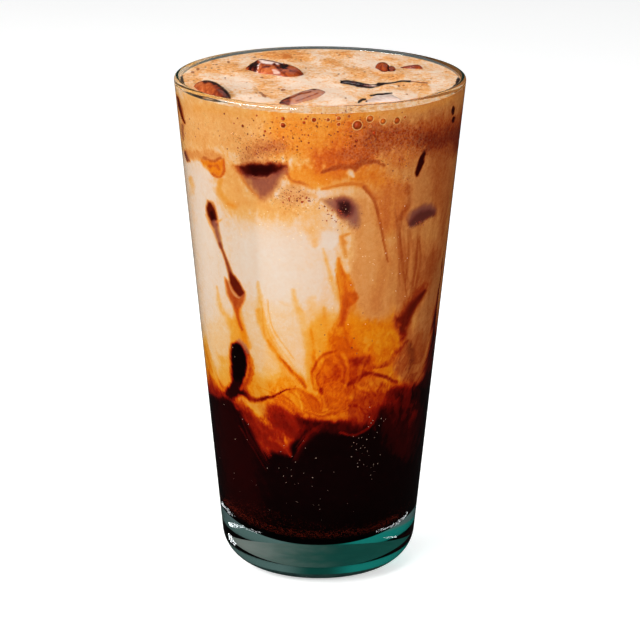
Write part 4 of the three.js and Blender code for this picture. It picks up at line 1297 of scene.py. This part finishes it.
def foam_top_material():
    """Wet coffee foam: cream with caramel patches, fine grain, and pits of many sizes."""
    m = Maker("foam_top")
    place = m.place()
    gold = m.attribute("gold")
    fine = m.noise(place, size_mm=0.9, detail=5, roughness=0.8) - 0.5
    soft = m.noise(place, size_mm=3.6, detail=4, roughness=0.65, distortion=0.8) - 0.5
    body = m.ramp(gold + 3.2 * fine + 1.8 * soft, FOAM_TONES)
    crowd = m.between(gold + 2.5 * soft, 0.15, 0.6)
    pits_here = m.between(m.noise(place, size_mm=3.1), 0.48, 0.56) * crowd
    pores_here = m.between(m.noise(place, size_mm=2.3), 0.46, 0.56) * crowd
    pit = m.below(m.cells(place, size_mm=2.1), 0.16, 0.3) * pits_here
    pore = m.below(m.cells(place, size_mm=1.1), 0.16, 0.36) * pores_here
    hollow = m.between(m.attribute("pit"), 0.15, 0.5)
    marked = m.mix(0.7 * pore, body, PORE_TINT)
    marked = m.mix(0.85 * pit, marked, PIT_TINT)
    marked = m.mix(0.8 * hollow, marked, HOLLOW_TINT)
    # The dark field: coffee dried on the foam, and painted shade along the wall and under the lip
    stained_and_shaded = m.mix(m.between(m.attribute("stain"), 0.14, 0.55), marked, STAIN_AND_SHADE_TINT)
    height = 1.2 * fine + 0.6 * soft - 0.7 * pit - 0.4 * pore - 0.8 * hollow
    normal = m.bump(height, distance_mm=0.5, strength=0.7)
    skin = m.principled(base_color=stained_and_shaded, roughness=0.45, specular_ior_level=0.15, normal=normal)
    return m.finish(skin)


ICE_TONES = [
    (0.0, colour(196, 112, 62)),
    (0.25, colour(166, 76, 32)),
    (0.5, colour(128, 48, 22)),
    (0.7, colour(84, 26, 14)),
    (0.88, colour(42, 10, 8)),
    (1.0, colour(20, 4, 6)),
]
MILK_FILM = colour(214, 176, 158), colour(238, 216, 204)


def ice_material():
    """Ice wetted by coffee: amber where light comes through, near black in its folds, partly under milk."""
    m = Maker("wet_ice")
    place = m.place()
    fine = m.noise(place, size_mm=1.2, detail=4, roughness=0.7) - 0.5
    folds = m.noise(place, size_mm=4, detail=3, roughness=0.5, distortion=2.0) - 0.5
    body = m.ramp(m.attribute("tone") + 0.7 * folds + 0.9 * fine, ICE_TONES)
    milk_tint = m.mix(m.between(folds, -0.2, 0.2), *MILK_FILM)
    film = m.between(m.attribute("film") + 0.5 * fine, 0.15, 0.85)
    skin_tint = m.mix(film, body, milk_tint)
    normal = m.bump(m.noise(place, size_mm=2.4, detail=3), distance_mm=0.3, strength=0.6)
    skin = m.principled(base_color=skin_tint, roughness=0.24, specular_ior_level=0.2, normal=normal)
    return m.finish(skin)


WHITE = (1, 1, 1, 1)
NO_LIGHT = (0, 0, 0, 1)
GLASS_SHADOW = (0.97, 0.985, 0.98, 1)
GLASS_DEPTH = (0.1, 0.8, 0.76, 1)  # the teal that white light takes on in the thick base


def glass_material():
    """Clear glass with a teal cast that only the thick base is deep enough to show."""
    m = Maker("tumbler_glass")
    glass = m.principled(
        base_color=WHITE, roughness=0.0, ior=GLASS_IOR, transmission_weight=1.0, specular_ior_level=0.4
    )
    clear = m.node("ShaderNodeBsdfTransparent", values={"Color": GLASS_SHADOW})
    shadow = m.node("ShaderNodeLightPath", output="Is Shadow Ray")
    surface = m.node("ShaderNodeMixShader", values={0: shadow, 1: glass, 2: clear})
    tint = m.node("ShaderNodeVolumeAbsorption", values={"Color": GLASS_DEPTH, "Density": 9.0})
    return m.finish(surface, tint)


FOOT_TINT = colour(8, 34, 32), colour(22, 52, 48)
# The foot's painted glow, standing in for light that the base shows: from left to right in front, and nothing
# towards the back
FOOT_LEFT = (0.7, 0.56, 0.52, 1)
FOOT_MIDDLE = (0.006, 0.08, 0.06, 1)
FOOT_RIGHT = (0.02, 0.46, 0.4, 1)
FOOT_PAINTED_GLOW = 0.45


def foot_material():
    """The ground foot, which scatters light up into the base, and glows with painted light: pale grey at the
    left front and teal at the right.
    """
    m = Maker("ground_foot_painted_glow")
    worn = m.noise(m.place(), size_mm=6, detail=4)
    tint = m.mix(m.between(worn, 0.3, 0.7), *FOOT_TINT)
    # The painted glow: pale at the left front, teal at the right, none towards the back; worn frays its edges
    across = m.node("ShaderNodeSeparateXYZ", values={0: m.place()}) / MM
    away = m.node("ShaderNodeSeparateXYZ", values={0: m.place()}, output="Y") / MM
    left = m.mix(m.between(across + 16 * (worn - 0.5), -13, 2), FOOT_LEFT, FOOT_MIDDLE)
    front = m.mix(m.between(across + 12 * (worn - 0.5), 5, 18), left, FOOT_RIGHT)
    glow = m.mix(m.between(away, -14, -4), NO_LIGHT, front)
    return m.finish(m.principled(
        base_color=tint, roughness=0.8, specular_ior_level=0.1,
        emission_color=glow, emission_strength=FOOT_PAINTED_GLOW,
    ))


LAMP_WHITE = (0.92, 0.97, 1, 1)
FLOOR_TINT = (0.84, 0.84, 0.84, 1), (0.87, 0.87, 0.865, 1)
FLOOR_GLOW = 0.45


def bubble_material(name, shade, other):
    """A bubble or speck, in two shades that change from one to the next."""
    m = Maker(name)
    spots = m.noise(m.place(), size_mm=2.6, detail=2)
    tint = m.mix(m.between(spots, 0.35, 0.65), shade, other)
    return m.finish(m.principled(base_color=tint, roughness=0.3, specular_ior_level=0.3))


def highlight_material(strength, streak_mm):
    """A light of the room, broken into streaks."""
    m = Maker("mirrored_light")
    streaks = m.between(m.noise(m.place(), streak_mm, detail=4, roughness=0.8), 0.42, 0.62)
    glow = m.mix(streaks, NO_LIGHT, LAMP_WHITE)
    return m.finish(m.principled(base_color=NO_LIGHT, emission_color=glow, emission_strength=strength))


def floor_material():
    """A pale floor with faint clouds, lit a little of itself so that it stays white."""
    m = Maker("pale_floor")
    tone = m.noise(m.place(), size_mm=400, detail=2)
    tint = m.mix(m.between(tone, 0.3, 0.7), *FLOOR_TINT)
    return m.finish(m.principled(
        base_color=tint, roughness=0.9, specular_ior_level=0.1,
        emission_color=WHITE, emission_strength=FLOOR_GLOW,
    ))


# Meshes

def add_mesh(name, points, faces, materials, smooth=True):
    """An object from points in millimetres and rows of corner numbers, all of one length."""
    mesh = bpy.data.meshes.new(name)
    faces = np.asarray(faces)
    corners = faces.shape[1]
    mesh.vertices.add(len(points))
    mesh.vertices.foreach_set("co", (np.asarray(points, float) * MM).ravel())
    mesh.loops.add(faces.size)
    mesh.loops.foreach_set("vertex_index", faces.ravel())
    mesh.polygons.add(len(faces))
    mesh.polygons.foreach_set("loop_start", np.arange(0, faces.size, corners))
    mesh.polygons.foreach_set("loop_total", np.full(len(faces), corners))
    mesh.polygons.foreach_set("use_smooth", np.full(len(faces), smooth))
    mesh.update(calc_edges=True)
    mesh.validate()
    for material in materials:
        mesh.materials.append(material)
    made = bpy.data.objects.new(name, mesh)
    bpy.context.collection.objects.link(made)
    return made


def add_field(made, name, values):
    made.data.attributes.new(name, "FLOAT", "POINT").data.foreach_set("value", np.asarray(values, np.float32))


def ring_faces(rings, columns):
    """Quads between neighbouring rings of a closed surface of revolution, facing out as rings rise."""
    ring = np.arange(rings - 1)[:, None] * columns
    column = np.arange(columns)[None, :]
    after = (column + 1) % columns
    quads = np.stack([ring + column, ring + after, ring + columns + after, ring + columns + column], -1)
    return quads.reshape(-1, 4)


def column_angles(front, back):
    """Angles round the glass, closer together at the front where the drink is painted finely."""
    near = np.linspace(-math.pi / 2, math.pi / 2, front, endpoint=False)
    far = np.linspace(math.pi / 2, 3 * math.pi / 2, back, endpoint=False)
    angle = np.concatenate([near, far])
    return np.where(angle > math.pi, angle - FULL_TURN, angle)


def layer(name, bottom_at, top_at, side_rows, top_rings, materials, crowd=1.0, back_columns=BACK_COLUMNS):
    """One layer of drink, closed, with a fine side and as many rings on its top as it shows.

    crowd over 1 brings the rows of the side closer together at the bottom.
    """
    angle = column_angles(FRONT_COLUMNS, back_columns)
    rows = [(share, 0.0) for share in FOOT_SHARES]
    rows += [(1.0, (step / side_rows) ** crowd) for step in range(1, side_rows)]
    rows += [(share, 1.0) for share in np.linspace(1, POLE_SHARE, top_rings + 1)]
    shape = (len(rows), len(angle))
    share, height = (np.broadcast_to(np.array(part)[:, None], shape) for part in zip(*rows))
    around = np.broadcast_to(angle, shape)
    z = mix(bottom_at(around, share), top_at(around, share), height)
    points = turned(share * drink_radius(z), around, z)
    columns = len(angle)
    quads = ring_faces(len(rows), columns)
    made = add_mesh(name, points.reshape(-1, 3), quads, materials)
    for field, values in painted_side(around.ravel(), z.ravel()).items():
        add_field(made, field, values)
    lower_brink, upper_brink = len(FOOT_SHARES) - 1, len(rows) - top_rings - 1
    ring_of_face = np.arange(len(quads)) // columns
    on_top = ring_of_face >= upper_brink
    hidden = ring_of_face < lower_brink
    if len(materials) > 1:
        for field, values in painted_top(points.reshape(-1, 3)).items():
            add_field(made, field, values)
        made.data.polygons.foreach_set("material_index", on_top.astype(np.int32))
    else:
        hidden = hidden | on_top
    made.data.polygons.foreach_set("use_smooth", ~hidden)
    sharpen_rings(made, columns, (lower_brink, upper_brink))
    return made


def sharpen_rings(made, columns, sharp):
    """Marks the edges that run round some rings of a turned mesh as sharp."""
    ends = np.empty(2 * len(made.data.edges), np.int32)
    made.data.edges.foreach_get("vertices", ends)
    ring, other = (ends.reshape(-1, 2) // columns).T
    made.data.edges.foreach_set("use_edge_sharp", (ring == other) & np.isin(ring, sharp))
    made.data.update()


def tumbler():
    """The tumbler as one smooth turned solid."""
    foot = np.array([[TUMBLER_POLE, 0], [HEEL.centre / 2, 0]])
    heel = HEEL.points(HEEL_STEPS)
    angle = np.linspace(0, math.pi, LIP_STEPS + 1)
    lip = np.column_stack([
        RIM_RADIUS - LIP_ROUNDING + LIP_ROUNDING * np.cos(angle),
        LIP_CENTRE_HEIGHT + LIP_ROUNDING * np.sin(angle),
    ])
    bowl = BOWL.points(BOWL_STEPS)[::-1]
    outside = np.linspace(heel[-1], lip[0], OUTSIDE_POINTS)[1:-1]
    inside = np.linspace(lip[-1], bowl[0], INSIDE_POINTS)[1:-1]
    profile = np.vstack([foot, heel, outside, lip, inside, bowl, [TUMBLER_POLE, FLOOR_THICKNESS]])
    around = np.linspace(0, FULL_TURN, TUMBLER_COLUMNS, endpoint=False)
    points = turned(profile[:, :1], around[None, :], np.repeat(profile[:, 1:], TUMBLER_COLUMNS, 1))
    quads = ring_faces(len(profile), TUMBLER_COLUMNS)
    made = add_mesh("tumbler", points.reshape(-1, 3), quads, [glass_material(), foot_material()])
    ring = np.arange(len(quads)) // TUMBLER_COLUMNS
    on_foot = (profile[ring, 1] < GROUND_HEIGHT) & (ring < len(foot) + len(heel))
    made.data.polygons.foreach_set("material_index", on_foot.astype(np.int32))
    made.data.update()
    return made


def cube_grid(steps):
    """Points and quads of a closed cube from -1 to 1, with even steps on every side."""
    line = np.linspace(-1, 1, steps + 1)
    u, v = (side.ravel() for side in np.meshgrid(line, line, indexing="ij"))
    corner = np.arange(steps)[:, None] * (steps + 1) + np.arange(steps)
    quad = np.stack([corner, corner + steps + 1, corner + steps + 2, corner + 1], -1).reshape(-1, 4)
    points, quads = [], []
    for axis in range(3):
        for sign in (-1, 1):
            side = np.empty((len(u), 3))
            side[:, axis], side[:, (axis + 1) % 3], side[:, (axis + 2) % 3] = sign, u, v
            quads.append((quad if sign > 0 else quad[:, ::-1]) + len(points) * len(u))
            points.append(side)
    merged, number = np.unique(np.round(np.vstack(points), 6), axis=0, return_inverse=True)
    return merged, number.ravel()[np.vstack(quads)]


MELTED = 0.05  # the most that wear takes off a block, as a share of its size


def ice_block(block, grid):
    """A box with its corners rounded off, narrowed upward and towards one end, worn a little, and placed."""
    squareness = block.get("squareness", 5)
    p = grid / (np.abs(grid) ** squareness).sum(1, keepdims=True) ** (1 / squareness)
    width = (1 - block.get("narrow", 0) * (1 + p[:, 2]) / 2) * (1 - block.get("point", 0) * (1 + p[:, 0]) / 2)
    p = p * np.array(block["size"]) / 2
    p[:, 1] *= width
    worn = 0.5 + 0.5 * layered_noise(p[:, 0] / 2.6 + p[:, 2] / 3, p[:, 1] / 2.6 - p[:, 2] / 4, 141)
    p = p * (1 - MELTED * worn)[:, None]
    lean = Euler((*map(math.radians, block["tip"]), math.radians(block["turn"])))
    p = p @ np.array(lean.to_matrix()).T + block["at"]
    far = np.hypot(p[:, 0], p[:, 1])
    kept_in = np.minimum(1, (drink_radius(p[:, 2]) - FOAM_SKIN) / far)
    p[:, :2] *= kept_in[:, None]
    return p


def ice_piece(node, material):
    """The blocks of one piece of ice, in one mesh."""
    grid, quads = cube_grid(ICE_STEPS)
    points = np.vstack([ice_block(block, grid) for block in ICE[node]])
    faces = np.vstack([quads + k * len(grid) for k in range(len(ICE[node]))])
    made = add_mesh("worn_" + node, points, faces, [material])
    for field, values in painted_ice(points, *ICE_BODY[node]).items():
        add_field(made, field, values)
    return made


def against_glass(spots):
    """Places on the drink's side for spots in pixels: middle, the ways along it, the way out, and radius."""
    spots = np.asarray(spots, float)
    angle, z = place_behind_wall(spots[:, 0], spots[:, 1])
    radius = drink_radius(z)
    level = np.zeros_like(angle)
    middle = turned(radius, angle, z)
    along = np.stack([np.cos(angle), np.sin(angle), level], -1)
    out = turned(1, angle, level - INNER_SLOPE)
    out = out / np.linalg.norm(out, axis=1, keepdims=True)
    return middle, along, np.cross(out, along), out, spots[:, 2] * CAMERA_DISTANCE / FOCAL_PIXELS


def beads(name, spots, material, flatness=0.45, sides=9):
    """Small closed lenses half sunk in the side of the drink."""
    middle, along, upward, out, radius = against_glass(spots)
    turn = np.linspace(0, FULL_TURN, sides, endpoint=False)
    rim = (
        middle[:, None] + radius[:, None, None]
        * (np.cos(turn)[None, :, None] * along[:, None] + np.sin(turn)[None, :, None] * upward[:, None])
    )
    swell = flatness * radius[:, None] * out
    points = np.concatenate([rim, (middle + swell)[:, None], (middle - swell)[:, None]], axis=1)
    k = np.arange(sides)
    after = (k + 1) % sides
    shell = np.vstack([
        np.stack([k, after, np.full(sides, sides)], -1),
        np.stack([after, k, np.full(sides, sides + 1)], -1),
    ])
    faces = shell[None] + (np.arange(len(points)) * (sides + 2))[:, None, None]
    made = add_mesh(name, points.reshape(-1, 3), faces.reshape(-1, 3), [material])
    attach(made, "root")


def rings(name, spots, material, slot, thickness=0.16, sides=20, around=6):
    """The pale edges of larger bubbles, as closed rings on the side of the drink."""
    middle, along, upward, out, radius = against_glass(spots)
    turn = np.linspace(0, FULL_TURN, sides, endpoint=False)[None, :, None, None]
    roll = np.linspace(0, FULL_TURN, around, endpoint=False)[None, None, :, None]
    middle, along, upward, out = (part[:, None, None] for part in (middle, along, upward, out))
    radius = radius[:, None, None, None]
    reach = radius * (1 - thickness / 2 + thickness / 2 * np.cos(roll))
    points = middle + reach * (np.cos(turn) * along + np.sin(turn) * upward)
    points = points + radius * thickness / 2 * np.sin(roll) * out
    a, b = np.meshgrid(np.arange(sides), np.arange(around), indexing="ij")
    a_next, b_next = (a + 1) % sides, (b + 1) % around
    quad = np.stack([a * around + b, a_next * around + b, a_next * around + b_next, a * around + b_next], -1)
    faces = quad.reshape(1, -1, 4) + (np.arange(len(points)) * sides * around)[:, None, None]
    made = add_mesh(name, points.reshape(-1, 3), faces.reshape(-1, 4), [material])
    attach(made, "root")


def scattered(crowds, small, large, seed):
    """Spots strewn round the middle of each crowd, with radii between small and large."""
    draw = np.random.default_rng(seed)
    spots = []
    for middle, reach, count in crowds:
        place = draw.normal(0, 0.5, (count, 2)) * reach + middle
        size = small + (large - small) * draw.random(count) ** 2
        spots.extend(np.column_stack([place, size]).tolist())
    return spots


# The room: floor, lamps and camera

FLOOR_SIDE = 6000.0
HIGHLIGHT_STREAK = 2.2
# The lamps: place and size in metres, power in watts, and whether the glass mirrors them
LAMPS = {
    "key": dict(place=(-0.7, -0.75, 0.6), size=(0.6, 0.7), power=10.4, mirrored=False),
    "side": dict(place=(-0.95, 0.05, 0.4), size=(0.5, 0.5), power=6, mirrored=False),
    "top": dict(place=(0.0, 0.35, 0.95), size=(0.9, 0.6), power=2.2, mirrored=True),
    "fill": dict(place=(0.75, -0.75, 0.4), size=(0.4, 0.6), power=7.5, mirrored=False),
}


def add_card(name, width, depth, material):
    """A flat rectangle round the origin."""
    x, y = width / 2, depth / 2
    corners = [(-x, -y, 0), (x, -y, 0), (x, y, 0), (-x, y, 0)]
    return add_mesh(name, corners, [[0, 1, 2, 3]], [material], smooth=False)


def make_floor():
    floor = add_card("floor", FLOOR_SIDE, FLOOR_SIDE, floor_material())
    floor.visible_glossy = False
    floor.visible_transmission = False


def make_highlights():
    """Bright shapes on the floor that only the mirror of the glass shows, and a lamp for its lip."""
    for number, (outline, strength) in enumerate(HIGHLIGHTS):
        points = mirrored_in_glass(*np.transpose(outline))
        glow = highlight_material(strength, HIGHLIGHT_STREAK)
        mirror_only(add_mesh(f"light_{number}", points, [range(len(points))], [glow], smooth=False))
    width, depth = (side / MM for side in RIM_CARD["size"])
    glow = highlight_material(RIM_CARD["strength"], RIM_CARD["streak_mm"])
    card = add_card("rim_light", width, depth, glow)
    card.location = RIM_CARD["place"]
    card.rotation_euler = facing(RIM_CARD["place"], GLASS_HEIGHT)
    mirror_only(card)


def facing(place, height):
    """The turn of a lamp at a place in metres that faces the glass's middle line at a height."""
    return (Vector((0, 0, height * MM)) - Vector(place)).to_track_quat("-Z", "Y").to_euler()


def mirror_only(card):
    card.visible_camera = False
    card.visible_diffuse = False
    card.visible_transmission = False
    card.visible_shadow = False


def make_lamp(name, place, size, power, mirrored):
    lamp = bpy.data.lights.new(name, "AREA")
    lamp.shape = "RECTANGLE"
    lamp.size, lamp.size_y = size
    lamp.energy = power
    holder = bpy.data.objects.new(name, lamp)
    holder.location = place
    holder.visible_glossy = mirrored
    holder.visible_transmission = mirrored
    holder.rotation_euler = facing(place, AIM_HEIGHT)
    bpy.context.collection.objects.link(holder)


# What the glass shows of the room: from left to right above the horizon, and below it
ROOM_LEFT = (0.01, 0.2, 0.17, 1)
ROOM_MIDDLE = (0.006, 0.06, 0.048, 1)
ROOM_RIGHT = (0.12, 0.16, 0.15, 1)
ROOM_BELOW = (0.11, 0.13, 0.13, 1)
# And what it mirrors above and below
MIRRORED_ABOVE = (0.01, 0.07, 0.06, 1)
MIRRORED_BELOW = (0.01, 0.01, 0.01, 1)
SOFT_LIGHT = 0.3


def studio_world():
    """White behind the glass, soft grey light all round, and what the glass itself shows of the room."""
    m = Maker("studio", "worlds")
    direction = m.node("ShaderNodeTexCoord")
    height = m.node("ShaderNodeSeparateXYZ", values={0: direction}, output="Z")
    across = m.node("ShaderNodeSeparateXYZ", values={0: direction}, output="X")
    above = m.between(height, -0.05, 0.05)
    to_middle = m.mix(m.between(across, -0.3, -0.05), ROOM_LEFT, ROOM_MIDDLE)
    upper = m.mix(m.between(across, 0.05, 0.3), to_middle, ROOM_RIGHT)
    through = m.background(m.mix(above, ROOM_BELOW, upper))
    mirrored = m.background(m.mix(above, MIRRORED_BELOW, MIRRORED_ABOVE))
    surface = mirrored
    for ray, light in (
        ("Is Transmission Ray", through),
        ("Is Diffuse Ray", m.background(WHITE, SOFT_LIGHT)),
        ("Is Camera Ray", m.background(WHITE)),
    ):
        seen = m.node("ShaderNodeLightPath", output=ray)
        surface = m.node("ShaderNodeMixShader", values={0: seen, 1: surface, 2: light})
    return m.finish(surface, output="ShaderNodeOutputWorld")


def make_light():
    bpy.context.scene.world = studio_world()
    for name, lamp in LAMPS.items():
        make_lamp(name, **lamp)


CLIP_METRES = (0.05, 20)


def make_camera():
    lens = bpy.data.cameras.new("camera")
    lens.sensor_width = SENSOR_WIDTH
    lens.lens = FOCAL_PIXELS / PICTURE_SIDE * SENSOR_WIDTH
    lens.clip_start, lens.clip_end = CLIP_METRES
    camera = bpy.data.objects.new("camera", lens)
    camera.location = CAMERA_PLACE * MM
    look = Vector((0, math.cos(CAMERA_ELEVATION), -math.sin(CAMERA_ELEVATION))).to_track_quat("-Z", "Y")
    camera.rotation_euler = (look @ Quaternion((0, 0, 1), CAMERA_ROLL)).to_euler()
    bpy.context.collection.objects.link(camera)
    bpy.context.scene.camera = camera


def stand_for(piece, node):
    """Lets a piece take the place of a solid's node."""
    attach(piece, "root")
    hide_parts(node)


def coffee_floor(angle, share):
    """Height of the flat bottom of the drink."""
    return np.full_like(angle, DRINK_BOWL.floor)


# The room, then the drink, the glass and the ice, and last the bubbles

make_camera()
make_floor()
make_highlights()
make_light()
bpy.context.scene.view_settings.view_transform = "Standard"

side = drink_side_material()
coffee = layer("black_coffee", coffee_floor, coffee_top, COFFEE_ROWS, COVERED_TOP_RINGS, [side], crowd=1.4)
milk = layer("swirled_milk", coffee_top, foam_bottom, MILK_ROWS, COVERED_TOP_RINGS, [side])
foam = layer(
    "coffee_foam", foam_bottom, foam_top, FOAM_ROWS, FOAM_TOP_RINGS, [side, foam_top_material()],
    back_columns=FOAM_BACK_COLUMNS,
)
stand_for(coffee, "coffee")
stand_for(milk, "milk")
stand_for(foam, "foam")
stand_for(tumbler(), "glass")
wet_ice = ice_material()
for node in ICE:
    stand_for(ice_piece(node, wet_ice), node)

bubbles = DARK_BUBBLES + scattered(BUBBLE_CROWDS, small=0.3, large=0.9, seed=3)
beads("dark_bubbles", bubbles, bubble_material("dark_bubble", colour(190, 62, 8), colour(128, 30, 2)))
edge = bubble_material("bubble_edge", colour(246, 204, 132), colour(226, 160, 88))
rings("ring_bubbles", RING_BUBBLES, edge, "foam")
faces = [(x, y, RING_FACE * radius) for x, y, radius in RING_BUBBLES]
within = bubble_material("bubble_within", colour(224, 106, 24), colour(176, 62, 14))
beads("ring_bubble_faces", faces, within, flatness=0.12, sides=16)
specks = [(x, y, SPECK_RADIUS) for x, y in SPECKS] + scattered(SPECK_CROWDS, small=0.2, large=0.36, seed=6)
beads("specks", specks, bubble_material("speck", colour(214, 190, 168), colour(150, 120, 104)))
sparkles = scattered(SPARKLE_CROWDS, small=0.3, large=0.55, seed=9)
beads("sparkles", sparkles, bubble_material("sparkle", colour(255, 236, 196), colour(250, 214, 150)))
